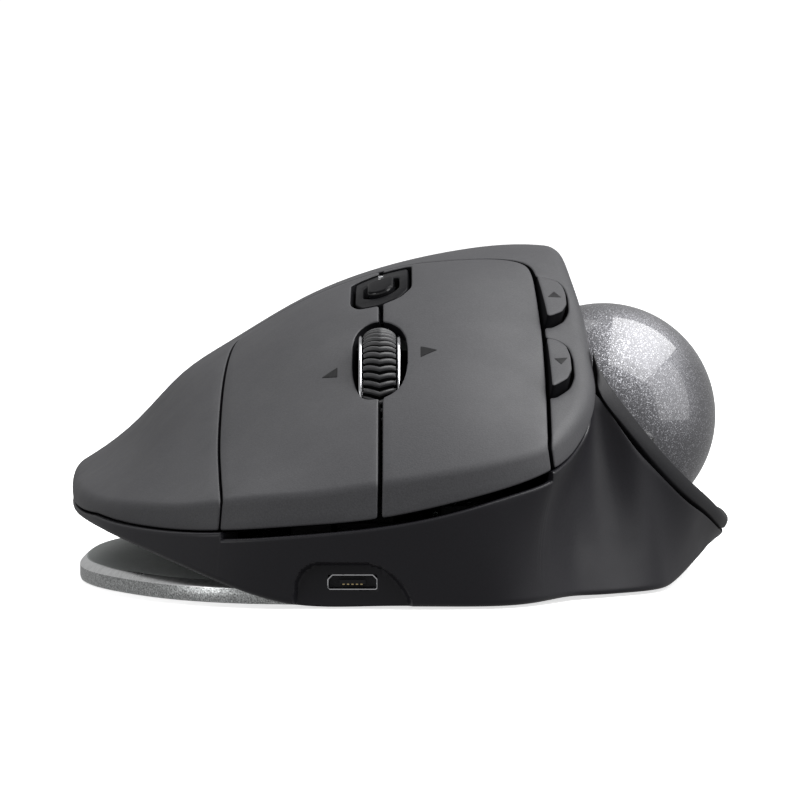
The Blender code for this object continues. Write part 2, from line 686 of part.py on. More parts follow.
def make_base():
    edge = around(PLATE_EDGE, 48)

    def ring(inset, z):
        return np.column_stack([drawn_in(edge, inset), np.full(len(edge), z)])

    levels = ((0.6, PLATE_FOOT), (0.0, PLATE_FOOT + 0.5), (0.0, 2.4), (1.3, PLATE_TOP))
    add_object("base_plate", loft("base_plate", [ring(*level) for level in levels]), STEEL)
    pad = loft("plate_grip_pad", [ring(1.4, 0.0), ring(1.4, PLATE_FOOT - 0.2)])
    add_object("plate_grip_pad", pad, RUBBER)
    along_y = (0, 1, 0)
    for end, y in zip(("front", "rear"), LUG_Y):
        axis = (TILT_X, y, TILT_Z)
        lug = box(f"hinge_lug_{end}", (4.0, 5, 1.8), (TILT_X, y, 4.5), STEEL)
        boolean(lug, cylinder(f"lug_eye_{end}", 2.0, 5, axis, direction=along_y), "UNION")
        boolean(lug, cylinder(f"lug_bore_{end}", 1.1, 8, axis, direction=along_y))
        boolean(lug, box(f"lug_foot_{end}", (8, 8, 2), (TILT_X, y, PLATE_TOP + 0.1 - 1)))
    cylinder("hinge_pin", 1.0, 64, (TILT_X, 0, TILT_Z), STEEL, direction=along_y)


# The thumb side: rim, thumb rest, precision button, ball and socket


def slab(name, outer, inner):
    """A closed solid between two grids of points of the same size."""
    columns = len(outer[0])
    section = [np.array(row) for row in outer] + [np.array(row) for row in inner[::-1]]
    rings = [[row[c] for row in section] for c in range(columns)]
    return loft(name, rings)


def make_thumb_side():
    rim = along(RIM, 28)
    low, high = rim[:, :3], rim[:, 3:]
    run = np.gradient((low + high)[:, :2], axis=0)
    across = np.column_stack([-run[:, 1], run[:, 0]])
    across /= np.linalg.norm(across, axis=1, keepdims=True)
    to_ball = np.array(BALL_CENTRE[:2]) - high[:, :2]
    to_ball /= np.linalg.norm(to_ball, axis=1, keepdims=True)
    # At its front end the band turns its edge to the ball. From there back it stands square to its run.
    share = np.clip((high[:, 1:2] + 30) / 12, 0, 1)
    inward = np.column_stack([across * share + to_ball * (1 - share), np.zeros(len(run))])
    inward /= np.linalg.norm(inward, axis=1, keepdims=True)
    band = slab("thumb_rim", [low, high], [low + 1.5 * inward, high + 1.5 * inward])
    add_object("thumb_rim", band, SATIN_BLACK)

    near, far = high + 1.8 * inward, along(REST_EDGE, 28)
    rows = []
    for share in np.linspace(0, 1, 7):
        middle = (near + far) / 2
        middle[:, 2] = near[:, 2] * 0.7 + far[:, 2] * 0.3 - SCOOP * np.clip((-8 - near[:, 1]) / 16, 0, 1)
        rows.append(near * (1 - share) ** 2 + middle * 2 * share * (1 - share) + far * share**2)
    shares = np.linspace(0, 1, len(rows))
    lower = [row + 1.4 * (1 - share) * inward - np.array((0, 0, WALL)) for share, row in zip(shares, rows)]
    rest = add_object("thumb_rest", slab("thumb_rest", rows, lower), SOFT_TOUCH)
    boolean(rest, ball("ball_room_rest", CUP_OUTER + GAP, BALL_CENTRE))
    boolean(rest, cylinder("precision_room", 2.25, 12, PRECISION_CENTRE, direction=PRECISION_AXIS))
    cylinder("precision_button", 1.9, 2.6, PRECISION_CENTRE, GLOSS_BLACK, direction=PRECISION_AXIS, bevel=0.3)


def arc(radius, first, last, count):
    """Points of (radius, height) on a circle, by angle from the axis."""
    angles = [math.radians(first + (last - first) * k / (count - 1)) for k in range(count)]
    return [(radius * math.sin(a), radius * math.cos(a)) for a in angles]


def make_ball():
    ball("trackball", BALL_RADIUS, BALL_CENTRE, BALL_LACQUER, BALL_SPIN, sides=32, levels=18)
    inner = arc(CUP_INNER, 180, 88, 10)
    outer = arc(CUP_OUTER, 88, 180, 10)
    inner[0], outer[-1] = (0.0, -CUP_INNER), (0.0, -CUP_OUTER)
    cup = turned("ball_socket", inner + outer, BALL_CENTRE, BALL_AXIS, SATIN_BLACK, 36)
    boolean(cup, cylinder("eject_way", 7.5, 12, (BALL_CENTRE[0], BALL_CENTRE[1], 7), sides=32))
    window = cylinder("sensor_window", 2.4, 6, off_ball(SENSOR_AXIS, 18), direction=SENSOR_AXIS, sides=16)
    boolean(cup, window)
    turn = Vector(BALL_AXIS).to_track_quat("Z", "Y")
    for k in range(3):
        around_axis, from_axis = math.radians(120 * k + 90), math.radians(112)
        out = math.sin(from_axis)
        local = Vector((out * math.cos(around_axis), out * math.sin(around_axis), math.cos(from_axis)))
        out = turn @ local
        boolean(cup, cylinder(f"bearing_room_{k + 1}", 1.5, 6, off_ball(out, 18.1), direction=out, sides=12))
        ball(f"socket_bearing_{k + 1}", 1.1, off_ball(out, BALL_RADIUS + 1.25), CERAMIC, sides=12, levels=8)


# The scroll wheel, its tilting carrier and the pressing yoke


def make_wheel():
    x, y, z = WHEEL_CENTRE
    along_x, along_y = (1, 0, 0), (0, 1, 0)
    half = 2.4
    tread = ((11.3, half), (12.1, 1.5), (WHEEL_RADIUS, 0.5))
    tyre = ((9.9, -half), (9.9, half), *tread, *((radius, -x) for radius, x in tread[::-1]))
    turned("wheel_tyre", tyre, WHEEL_CENTRE, along_x, RUBBER, 36)
    hub = ((1.3, -2.2), (1.3, 2.2), (9.6, 2.2), (9.6, -2.2))
    turned("wheel_hub", hub, WHEEL_CENTRE, along_x, SATIN_BLACK, 36)
    rim = ((9.2, -0.27), (9.2, 0.27), (11.2, 0.27), (11.2, -0.27))
    for side, name in ((-1, "wheel_rim_pinky"), (1, "wheel_rim_thumb")):
        turned(name, rim, (x + side * 2.82, y, z), along_x, CHROME, 36)
    cylinder("wheel_axle", 1.0, 9.8, WHEEL_CENTRE, STEEL, direction=along_x)

    carrier = box("wheel_carrier", (10.2, 9, 1.2), (x, y, CARRIER_Z), SATIN_BLACK)
    for side in (-1, 1):
        cheek = box(f"cheek_{side}", (1.2, 7, 17.2), (x + side * 4.5, y, CARRIER_Z + 8), bevel=0.0)
        boolean(carrier, cheek, "UNION")
    boolean(carrier, cylinder("axle_room", 1.15, 20, WHEEL_CENTRE, direction=along_x))
    boolean(carrier, cylinder("tilt_pins", 0.55, 17, (x, y, CARRIER_Z), direction=along_y, sides=12), "UNION")
    box("wheel_encoder", (2.6, 7, 7), (x - 7.0, y, z - 3), BOARD)

    yoke = box("wheel_yoke", (12.4, 33, 1.2), (x, -29.5, YOKE_Z), SATIN_BLACK)
    boolean(yoke, box("yoke_heel", (12.4, 4.4, 3.4), (x, YOKE_PIVOT[1], 11.9)), "UNION")
    boolean(yoke, cylinder("yoke_trunnion", 1.0, 22, YOKE_PIVOT, direction=along_x), "UNION")
    for side in (-1, 1):
        boolean(yoke, box(f"tilt_post_{side}", (4, 1.6, 4.4), (x, y + side * 7, 12.8)), "UNION")
    boolean(yoke, cylinder("tilt_pin_room", 0.8, 24, (x, y - 4, CARRIER_Z), direction=along_y, sides=12))
    for side, name in ((-1, "tilt_switch_pinky"), (1, "tilt_switch_thumb")):
        box(name, (1.6, 5, 3.0), (x + side * 5.3, y + 7.4, 13.2), BOARD)


# What the body holds


def make_insides():
    box("main_board", (31, 31, 1.2), (-1.5, -34, BOARD_Z), BOARD)
    middle_z = (BOARD_Z + 0.8 + SWITCH_TOP) / 2
    tall = SWITCH_TOP - BOARD_Z - 0.8
    for name, x in (("left_switch", 9.0), ("right_switch", -13.0)):
        box(name, (5.8, 8.4, tall), (x, -45, middle_z), SATIN_BLACK)
    box("wheel_click_switch", (6, 3.4, 1.7), (-3, -42.5, 8.6), SATIN_BLACK)
    box("battery", (20, 34, 6.4), (-4, 19, 11.6), CELL, bevel=1.6)
    right = ((3.15, -1.2), (3.75, -0.6), (3.75, 0.5), (2.9, 1.2))
    port = (*right, *((-x, z) for x, z in right[::-1]))
    rings = []
    for y, shrink in ((0.0, 0.0), (3.4, 0.0), (3.4, 0.3), (0.0, 0.3)):
        outline = grown(port, -shrink)
        rings.append([(USB_CENTRE[0] + u, USB_CENTRE[1] + y, USB_CENTRE[2] + v) for u, v in outline])
    add_object("usb_port", loft("usb_port", rings, closed=True), CHROME)
    box("usb_tongue", (3.8, 2.6, 0.6), (USB_CENTRE[0], USB_CENTRE[1] + 1.9, USB_CENTRE[2]), SATIN_BLACK)

    cylinder("sensor_lens", 2.6, 2.0, off_ball(SENSOR_AXIS, 20.4), CLEAR, direction=SENSOR_AXIS, sides=20)
    box("sensor_chip", (6, 6, 1.6), off_ball(SENSOR_AXIS, 22.6), SATIN_BLACK, direction=SENSOR_AXIS)
    box("sensor_board", (12, 12, 1.2), off_ball(SENSOR_AXIS, 24.4), BOARD, direction=SENSOR_AXIS)
    slope = (0.0, -0.43, 0.9)
    side_board = Vector((18.4, -33.0, 28.4))
    up, run = Vector(slope).normalized(), Vector((0, -0.9, -0.43)).normalized()
    box("side_board", (4.6, 22, 1.2), side_board, BOARD, direction=slope)
    for name, shift in (("forward_switch", -7.5), ("back_switch", 6.0)):
        box(name, (4.2, 5, 2.6), side_board + run * shift + up * 2.2, SATIN_BLACK, direction=slope)
    selector_board = Vector((-3.0, -14.6, 37.6))
    box("selector_board", (12, 12, 1.0), selector_board, BOARD, direction=slope)
    box("selector_switch", (5, 5, 2.4), selector_board + up * 2.0, SATIN_BLACK, direction=slope)
    below = Vector(PRECISION_CENTRE) - Vector(PRECISION_AXIS).normalized() * 5.0
    box("precision_switch", (3.0, 3.0, 2.2), below, SATIN_BLACK, direction=PRECISION_AXIS)
    cylinder("magnet_flat", 4.0, 1.6, (6, 30, UNDERSIDE + FLOOR + 1.2), STEEL)
    lean = math.radians(TILT_DEG)
    normal = (math.sin(lean), 0, math.cos(lean))
    spot = Vector((-33.0, 8.0, float(underside(-33.0)) + FLOOR)) + Vector(normal) * 1.2
    cylinder("magnet_tilt", 4.0, 1.6, spot, STEEL, direction=normal)
    box("power_slider", (3.4, 6, 2.6), SLIDER_CENTRE, GLOSS_BLACK)


make_top()
make_housing()
make_base()
make_thumb_side()
make_ball()
make_wheel()
make_insides()
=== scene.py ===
"""Looks of the thumb-operated trackball mouse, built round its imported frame.

The frame's own axes are kept: +X to the thumb side, +Y to the palm, +Z up, with the nose at -Y.
Shapes are worked out in millimetres, and MM turns them into Blender's metres.
"""

import json
import math

import bmesh
import bpy
import numpy as np
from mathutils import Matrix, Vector
from mathutils.geometry import delaunay_2d_cdt


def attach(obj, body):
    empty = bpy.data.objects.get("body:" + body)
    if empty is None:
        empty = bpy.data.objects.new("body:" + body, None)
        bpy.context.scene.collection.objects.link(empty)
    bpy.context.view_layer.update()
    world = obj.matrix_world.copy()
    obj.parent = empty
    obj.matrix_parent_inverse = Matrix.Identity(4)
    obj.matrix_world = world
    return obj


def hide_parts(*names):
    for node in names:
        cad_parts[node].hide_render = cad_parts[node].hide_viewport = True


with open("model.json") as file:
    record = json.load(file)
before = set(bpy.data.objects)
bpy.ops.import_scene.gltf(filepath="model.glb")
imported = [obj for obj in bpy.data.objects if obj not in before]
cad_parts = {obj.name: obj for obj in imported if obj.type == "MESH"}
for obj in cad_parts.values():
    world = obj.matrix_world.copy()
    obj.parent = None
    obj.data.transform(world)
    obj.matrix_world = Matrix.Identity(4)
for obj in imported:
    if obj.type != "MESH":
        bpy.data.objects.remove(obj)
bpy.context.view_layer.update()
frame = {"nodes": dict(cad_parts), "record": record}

MM = 0.001

# Driving dimensions, as in the frame
BALL_CENTRE = np.array((30.8, -8.0, 25.0))
BALL_RADIUS = 17.0
CUP_ROOM = 18.75 + 0.3
BALL_AXIS = (0.77, 0.0, 0.638)
BALL_SPIN = (-0.638, 0.0, 0.77)
PLATE_TOP = 3.4
TILT_X, TILT_Z, TILT_DEG = -20.0, 4.9, 20.0
WHEEL_CENTRE = np.array((-3.0, -34.0, 27.2))
WHEEL_RADIUS = 12.4
USB_CENTRE = np.array((-6.9, -59.0, 3.9))
PRECISION_AXIS = (0.35, -0.25, 0.9)
PRECISION_CENTRE = (35.8, -29.3, 22.6)
WALL = 1.6
SCOOP = 7.0

# Height of the top surface over a plan grid: a column for each X, a row for each Y.
GRID_X = (-52, -46, -40, -34, -27, -15, -3, 9, 22, 34)
GRID_Y = (-70, -58, -46, -32, -18, -4, 10, 24, 38, 52, 66)
HEIGHTS = (
    (-14.0, -7.0, -2.5, 2.5, 8.0, 9.8, 11.8, 14.6, 15.5, 13.0),
    (-4.0, 1.0, 5.3, 9.8, 14.2, 18.9, 22.8, 24.8, 23.6, 21.2),
    (3.0, 7.5, 11.4, 15.2, 19.4, 26.2, 31.0, 32.7, 30.2, 29.0),
    (9.0, 12.4, 16.4, 20.9, 25.7, 33.3, 38.3, 40.0, 37.4, 35.0),
    (11.8, 15.6, 20.0, 26.0, 31.6, 39.2, 44.2, 46.2, 44.0, 41.0),
    (13.4, 17.5, 22.4, 29.3, 34.4, 41.5, 46.5, 49.1, 49.2, 46.2),
    (15.0, 18.7, 23.6, 29.9, 34.8, 41.9, 46.6, 49.3, 50.0, 47.3),
    (14.0, 17.1, 21.9, 28.1, 33.1, 40.2, 45.1, 47.6, 48.0, 45.0),
    (10.5, 14.0, 18.2, 23.2, 28.3, 35.2, 39.8, 41.8, 41.2, 37.5),
    (3.0, 7.0, 11.4, 16.0, 20.6, 26.6, 30.4, 31.8, 30.0, 25.5),
    (-9.0, -3.0, 2.0, 7.0, 11.6, 16.6, 19.6, 20.2, 17.0, 11.0),
)

# Edge of the top surface, round the hand: x, y, height of the lip's lower edge, bend radius, lip angle.
TOP_EDGE = (
    (-3, -62.3, 13.5, 2.2, 82), (8, -62.6, 15.9, 2.2, 82), (16.5, -60.3, 18.3, 2.2, 82),
    (20.9, -57.0, 20.2, 2.4, 80), (23.8, -51.2, 23.1, 2.8, 78), (25.9, -42.5, 28.2, 3.2, 78),
    (26.0, -33.5, 33.4, 3.2, 78), (25.1, -20, 37.6, 3.2, 80), (23.4, -8, 42.6, 3.0, 82),
    (22.5, 2, 40.9, 3.0, 82), (22.1, 14, 37.0, 3.4, 80), (23.3, 28, 31.0, 4.0, 78),
    (25.2, 42, 23.2, 4.5, 78), (20, 55.5, 15.2, 5.0, 80), (5, 63, 12.0, 5.0, 82),
    (-12, 63, 11.0, 5.0, 82), (-28, 56, 11.0, 4.5, 82), (-40, 42.5, 11.2, 4.0, 88),
    (-46.3, 27, 12.2, 3.4, 94), (-48.6, 10, 13.6, 3.0, 98), (-48.4, -6, 13.4, 3.0, 98),
    (-46.2, -22, 12.3, 2.8, 94), (-41.8, -34.5, 11.3, 2.5, 88), (-35.5, -45, 10.9, 2.3, 84),
    (-26, -55.2, 11.2, 2.2, 82), (-15, -60.2, 12.2, 2.2, 82),
)

# Lower housing, round the hand: x, y, z of its top edge, then of its foot, then how far its waist goes in.
HOUSING = (
    (-3.3, -64.2, 12.2, -3.3, -61, 0.4, 0.0),
    (8, -64.4, 14.4, 8, -60.8, 0.4, 0.0),
    (17.3, -61.8, 17.0, 16.5, -58.6, 0.4, 0.3),
    (22.2, -58.8, 18.6, 20.5, -54.8, 0.5, 1.2),
    (26.0, -52.4, 21.8, 24.5, -48.5, 0.7, 2.4),
    (28.2, -44, 26.6, 29.0, -42.5, 0.6, 2.4),
    (28.8, -38.5, 30.3, 33.5, -38.5, 0.5, 1.2),
    (32.8, -37.3, 24.8, 37.5, -34, 0.5, 0.4),
    (37.6, -33.5, 19.0, 40.5, -28, 0.7, 0.2),
    (42.5, -27, 13.8, 43.2, -20, 2.2, 0.0),
    (45.5, -20, 11.2, 45.6, -13, 4.0, 0.0),
    (49.1, -6, 7.3, 47.7, -4, 5.6, 0.0),
    (49.4, 6, 7.2, 47.7, 8, 4.0, 0.0),
    (46.8, 21, 7.3, 44.8, 21, 1.0, 0.0),
    (41, 36, 7.6, 39, 35, 0.5, 0.0),
    (32.5, 49, 8.3, 31, 46.5, 0.5, 0.0),
    (20, 61, 10.0, 19, 58, 0.5, 0.0),
    (5, 67.1, 10.8, 5, 64, 0.5, 0.0),
    (-12, 66.9, 10.3, -11, 64, 0.5, 0.0),
    (-29, 59.5, 10.3, -27, 58, 3.4, 0.0),
    (-42, 45.5, 10.6, -39.5, 45.5, 7.6, 0.0),
    (-48.4, 28.5, 11.4, -47, 29, 10.0, 0.0),
    (-49.9, 10, 12.5, -49.5, 10.5, 11.6, 0.0),
    (-49.8, -6, 11.8, -49.4, -6.5, 10.9, 0.0),
    (-47.8, -22.5, 11.1, -47.3, -23.5, 10.2, 0.0),
    (-43.4, -35.5, 10.6, -43, -36.5, 9.0, 0.0),
    (-36.6, -46.8, 10.2, -36.5, -47, 7.0, 0.0),
    (-27, -57.2, 10.0, -27.5, -56, 3.9, 0.0),
    (-15.5, -62.4, 10.9, -16, -60.5, 0.7, 0.0),
)

# Rim of the thumb side, front to back: x, y, z of its lower line, then of its upper line.
RIM = (
    (28.9, -31.0, 34.9, 28.6, -30.0, 36.4), (29.2, -35.3, 32.4, 29.3, -34.0, 34.0),
    (29.3, -37.8, 30.6, 30.8, -36.0, 31.5), (33.1, -37.2, 25.1, 34.9, -35.4, 26.1),
    (37.9, -33.3, 19.3, 39.6, -31.6, 20.4), (42.8, -26.8, 14.2, 44.2, -24.8, 15.6),
    (45.8, -19.8, 11.6, 46.9, -18.2, 12.9), (49.2, -6.0, 7.7, 49.9, -5.0, 9.3),
    (49.5, 6.0, 7.6, 49.7, 6.0, 9.6), (47.1, 21.0, 7.7, 47.0, 20.6, 9.8),
    (41.3, 36.0, 8.0, 40.9, 35.4, 10.6), (33.0, 48.8, 8.8, 32.4, 48.0, 11.6),
    (26.4, 55.9, 9.7, 25.9, 55.1, 12.0),
)

# Upper edge of the thumb rest, a point for each point of RIM.
REST_EDGE = (
    (28.5, -26.4, 35.6), (28.7, -25.2, 35.0), (28.4, -22.8, 35.4), (27.3, -19.6, 36.7),
    (25.9, -14.5, 38.7), (24.9, -8.5, 40.6), (24.4, -1.0, 40.0), (24.4, 6.0, 38.6), (25.3, 15.0, 35.6),
    (27.1, 26.0, 30.6), (29.0, 37.0, 25.2), (27.4, 46.6, 19.6), (22.6, 53.6, 14.6),
)

PLATE_EDGE = (
    (-48.6, -6), (-47.8, -14), (-44.8, -25), (-40.6, -34), (-36.2, -41.2), (-30, -47.8), (-24, -51.4),
    (-16, -53.2), (-4, -53.8), (8, -53), (15, -49), (18.5, -41), (19, -26), (18.5, 0), (18.8, 20),
    (16, 36), (8, 48), (-6, 54), (-20, 54), (-32, 48.5), (-41, 38.5), (-46, 26), (-48.4, 9),
)

NOSE = -75.0
CENTRE_SEAM_X = -2.9
THUMB_SEAM = ((21.9, NOSE), (21.8, -50), (21.7, -40), (21.4, -30), (20.8, -20), (20.2, -12.6), (19.2, -9.6))
BACK_SEAM = ((16, -8.2), (7, -8.4), (1.5, -4.6), (CENTRE_SEAM_X, -3.0), (-8, -1.2), (-16, 1.8), (-22.6, 2.6))
PINKY_SEAM = (
    (-25.0, 0.2), (-26.0, -12), (-26.7, -24), (-26.9, -38), (-26.5, -48), (-25.9, -58), (-25.6, NOSE),
)
# The side keys' outer edges, back to front
FORWARD_KEY = ((23.3, -14), (24.3, -15.4), (24.7, -18), (24.7, -22), (23.9, -25), (22.2, -27.4))
BACK_KEY = ((23.4, -31.4), (24.6, -32.6), (25.1, -35.5), (25.2, -40), (24.5, -43), (22.6, -45.6))
BEZEL = (
    (1.1, -6.6), (-2.4, -5.6), (-6.8, -7.6), (-6.9, -19.2), (-5.8, -21.6), (-3.2, -22.4), (-0.4, -21.6),
    (1.1, -19.2),
)
SELECTOR = ((-1.0, -12.3), (-4.9, -12.3), (-4.9, -17.6), (-3.4, -18.8), (-1.8, -18.6), (-1.0, -17.2))
SLOT = (
    (-6.8, -32.6), (-6.5, -30.2), (-5.8, -28.6), (-4.4, -27.7), (-3.0, -28.2), (-1.7, -29.3), (-0.3, -31.4),
    (0.5, -33.9), (0.8, -36.7), (0.8, -40.9), (0.5, -43.6), (0.1, -45.3), (-0.6, -46.5), (-1.6, -47.3),
    (-3.1, -47.4), (-4.6, -46.9), (-5.6, -45.8), (-6.3, -43.3), (-6.7, -40.3), (-6.8, -37.0),
)

# Gaps between the top's panels, and how far the side keys stand off the thumb seam
KEY_GAP, BEZEL_GAP, CENTRE_GAP, SLOT_GAP, SELECTOR_GAP = 0.5, 0.6, 0.62, 0.28, 0.75
KEY_SEAM = 0.27

# Spacing of points along outlines, along seams and down the lip, the step that slopes are taken over, and
# the width that a panel's corners are rounded over
OUTLINE_STEP, CURVE_STEP, LIP_STEP = 0.3, 0.4, 1.1
PROBE = 0.05
PANEL_CORNER = 0.3

# Side keys: how far they stand out at the front and at the rear, their depth and their edge's radius
KEY_LIFTS = (1.9, 0.35)
KEY_DEPTH, KEY_ROLL = 3.4, 0.28

# Centres of the arrows on the side keys, and corners of the marks beside the wheel
ARROWS = {"forward": (22.9, -19.9), "back": (23.6, -38.0)}
CLICK_MARKS = {
    "left": ((3.1, -37.5), (5.4, -38.8), (3.1, -40.1)),
    "right": ((-11.5, -37.5), (-9.3, -36.6), (-9.3, -39.0)),
}

# The lower housing's top edge: its wall steps where the cover's seams meet it, and comes up to this far
# under the cover's lip outside them, as far round as the rim
SIDE_SEAMS, SEAM_REACH = (-26.1, 22.4), 0.7
COVER_SIDES, COVER_FRONT_Y, RIM_X = (-26.15, 22.45), -30, 29.5
LIP_GAP = 0.28
EDGE_ROUND, FOOT_ROUND = 0.5, 0.9
FLANGE_WIDTHS = (4.5, 1.2)

# Spacing of the housing's points round its ring: elsewhere, at the port and at the seams. Below a height
# its rows lie closer together too.
RING_SAMPLES = 4000
RING_STEP, PORT_STEP, SEAM_STEP = 1.15, 0.25, 0.12
PORT_SPAN, FRONT_Y = (-17.5, 4), -45
FINE_HEIGHT = 8.2

# The port's recess: its reach, how deep its floor and the wall behind lie, and its outline in X and Z
PORT_REACH, PORT_REAR_Y, PORT_TOP_Z = 13, -50, 9.5
PORT_FLOOR_Y, PORT_WALL_Y = -59.0, -56.6
POCKET_HALF, POCKET_DEPTH = (3.55, 1.05), 1.6
PORT_MOUTH = (
    (-15.5, -3.0), (-15.5, 1.0), (-15.2, 4.1), (-14.3, 5.8), (-12.8, 6.8), (-11.5, 7.0), (-4.8, 7.0),
    (-2.6, 6.3), (-0.6, 4.8), (0.7, 3.2), (1.4, 2.0), (1.7, 1.0), (1.8, -3.0),
)

# Room that the leaning housing leaves beside and above the plate, and the least wall that it keeps
PLATE_SIDE_ROOM, PLATE_TOP_ROOM, LEAST_WALL = 0.5, 0.4, 0.4

# Thumb side: points along its rim, the rim's thickness, where the rest starts, and the rows across it
RIM_SAMPLES, RIM_DEPTH, REST_INSET, REST_ROWS = 170, 1.5, 1.75, 40

# Scroll wheel: the tyre's section as distances across it and radii, its ribs, and a rim's section
TYRE_HALF = 2.4
TYRE_ACROSS = (-2.4, -2.4, -2.25, -1.8, -1.3, -0.8, -0.35, 0, 0.35, 0.8, 1.3, 1.8, 2.25, 2.4, 2.4)
TYRE_RADII = (9.9, 11.1, 11.45, 11.85, 12.12, 12.3, 12.38, 12.4, 12.38, 12.3, 12.12, 11.85, 11.45, 11.1, 9.9)
RIBS, STEPS_PER_RIB = 58, 10
RIB_DEPTH = 0.85
RIB_LEAD = 0.9
RIM_SIDE = 2.82
RIM_PROFILE = (
    (9.2, -0.27), (9.2, 0.27), (10.95, 0.27), (11.12, 0.2), (11.2, 0.06), (11.2, -0.06), (11.12, -0.2),
    (10.95, -0.27),
)

# Micro-USB port: its shell's outline, its rings as (depth, shrink), and its contacts
PORT = (
    (-3.75, -0.9), (-3.45, -1.2), (3.45, -1.2), (3.75, -0.9), (3.75, 0.45), (3.0, 1.2), (-3.0, 1.2),
    (-3.75, 0.45),
)
PORT_RINGS = ((3.4, 0.3), (0.08, 0.3), (0.0, 0.22), (0.0, 0.1), (0.1, 0.0), (3.4, 0.0))
BOX_FACES = ((0, 1, 3, 2), (4, 6, 7, 5), (0, 4, 5, 1), (2, 3, 7, 6), (0, 2, 6, 4), (1, 5, 7, 3))
CONTACTS, CONTACT_PITCH = 5, 0.65
CONTACT_LOW, CONTACT_HIGH = (-0.16, 0.55, -0.42), (0.16, 2.2, -0.28)

# Base plate's section: how far each ring lies inside the edge, its height, and its material
PLATE_LEVELS = (
    (14.0, 0.85, 0), (1.1, 0.85, 2), (0.8, 0.12, 2), (0.4, 0.1, 2), (0.12, 0.25, 2), (0.0, 0.6, 2),
    (0.0, 2.25, 1), (0.1, 2.45, 1), (0.8, 3.2, 1), (1.05, 3.36, 0), (1.4, 3.4, 0), (6.0, 3.4, 0),
    (14.0, 3.4, 0),
)
PRECISION_PROFILE = (
    (0.0, 1.1), (0.8, 1.13), (1.3, 1.22), (1.6, 1.28), (1.82, 1.16), (1.9, 0.9), (1.9, -1.3), (0.0, -1.3),
)

# How far round a panel's rolled edge each of its rows lies
ROLL = [math.radians(a) for a in (90, 60, 30, 0)]

# Scales of the blotches and of the ball's flakes, and how far a flake is tipped
BLOTCH = 90.0
FLAKES = 9000.0
FLAKE_TIP = 0.23

# Curves and surfaces


class Spline:
    """Natural cubic through points, one for each knot, and straight beyond its ends."""

    def __init__(self, knots, points):
        self.knots = np.array(knots, float)
        self.points = np.array(points, float)
        step = np.diff(self.knots)
        bend = np.eye(len(self.knots))
        pull = np.zeros_like(bend)
        for i in range(1, len(step)):
            bend[i, i - 1 : i + 2] = step[i - 1], 2 * (step[i - 1] + step[i]), step[i]
            pull[i, i - 1 : i + 2] = 6 / step[i - 1], -6 / step[i - 1] - 6 / step[i], 6 / step[i]
        self.curvature = np.linalg.solve(bend, pull) @ self.points

    def __call__(self, at):
        inside = np.clip(at, self.knots[0], self.knots[-1])
        i = np.clip(np.searchsorted(self.knots, inside) - 1, 0, len(self.knots) - 2)
        step = (self.knots[i + 1] - self.knots[i])[:, None]
        b = (inside - self.knots[i])[:, None] / step
        a = 1 - b
        low, high = self.points[i], self.points[i + 1]
        low_bend, high_bend = self.curvature[i], self.curvature[i + 1]
        value = a * low + b * high + ((a**3 - a) * low_bend + (b**3 - b) * high_bend) * step**2 / 6
        slope = (high - low) / step + ((1 - 3 * a**2) * low_bend + (3 * b**2 - 1) * high_bend) * step / 6
        return value + slope * (at - inside)[:, None]


class Loop:
    """A smooth closed curve through points, whose first columns are x and y, by its length in plan."""

    def __init__(self, points):
        points = np.array(points, float)
        lap = 4
        wrapped = np.concatenate([points[-lap:], points, points[: lap + 1]])
        knots = np.concatenate([[0], np.cumsum(np.linalg.norm(np.diff(wrapped[:, :2], axis=0), axis=1))])
        self.spline = Spline(knots, wrapped)
        self.start, self.length = knots[lap], knots[lap + len(points)] - knots[lap]

    def __call__(self, at):
        return self.spline(self.start + np.mod(at, self.length))

    def even(self, count):
        return self(np.arange(count) * self.length / count)


def unit(vectors):
    return vectors / np.maximum(np.linalg.norm(vectors, axis=-1, keepdims=True), 1e-9)


def right_of(run):
    """The unit normals in plan on the right of steps along a line."""
    return unit(np.column_stack([run[:, 1], -run[:, 0]]))


def outward(ring):
    """The unit normal in plan at each point of a closed ring that runs anticlockwise."""
    return right_of(np.roll(ring[:, :2], -1, axis=0) - np.roll(ring[:, :2], 1, axis=0))


def lengths(line):
    return np.concatenate([[0], np.cumsum(np.linalg.norm(np.diff(line, axis=0), axis=1))])


def resampled(line, step, closed=False):
    """The same line with its points evenly spaced."""
    line = np.array(line, float)
    if closed:
        line = np.concatenate([line, line[:1]])
    along = lengths(line)
    count = max(4, int(round(along[-1] / step)))
    at = np.linspace(0, along[-1], count + 1)[: count if closed else count + 1]
    return np.column_stack([np.interp(at, along, column) for column in line.T])


def curved(points):
    """An open line whose corners are rounded as far as its straights allow, ends kept."""
    points = np.array(points, float)
    middles = (points[1:] + points[:-1]) / 2
    line = [points[0]]
    for i in range(1, len(points) - 1):
        a, b, c = middles[i - 1], points[i], middles[i]
        for t in np.linspace(0, 1, 9):
            line.append(a * (1 - t) ** 2 + b * 2 * t * (1 - t) + c * t**2)
    return resampled(line + [points[-1]], CURVE_STEP)


def softened(outline, width, step=0.3):
    """A closed outline with its corners rounded off over about this width."""
    ring = resampled(outline, step, closed=True)
    reach = int(3 * width / step)
    weights = np.exp(-0.5 * (np.arange(-reach, reach + 1) * step / width) ** 2)
    weights /= weights.sum()
    return sum(w * np.roll(ring, k, axis=0) for w, k in zip(weights, range(-reach, reach + 1)))


def moved_aside(line, by):
    """An open line moved to its right."""
    run = unit(np.gradient(line, axis=0))
    return line + by * np.column_stack([run[:, 1], -run[:, 0]])


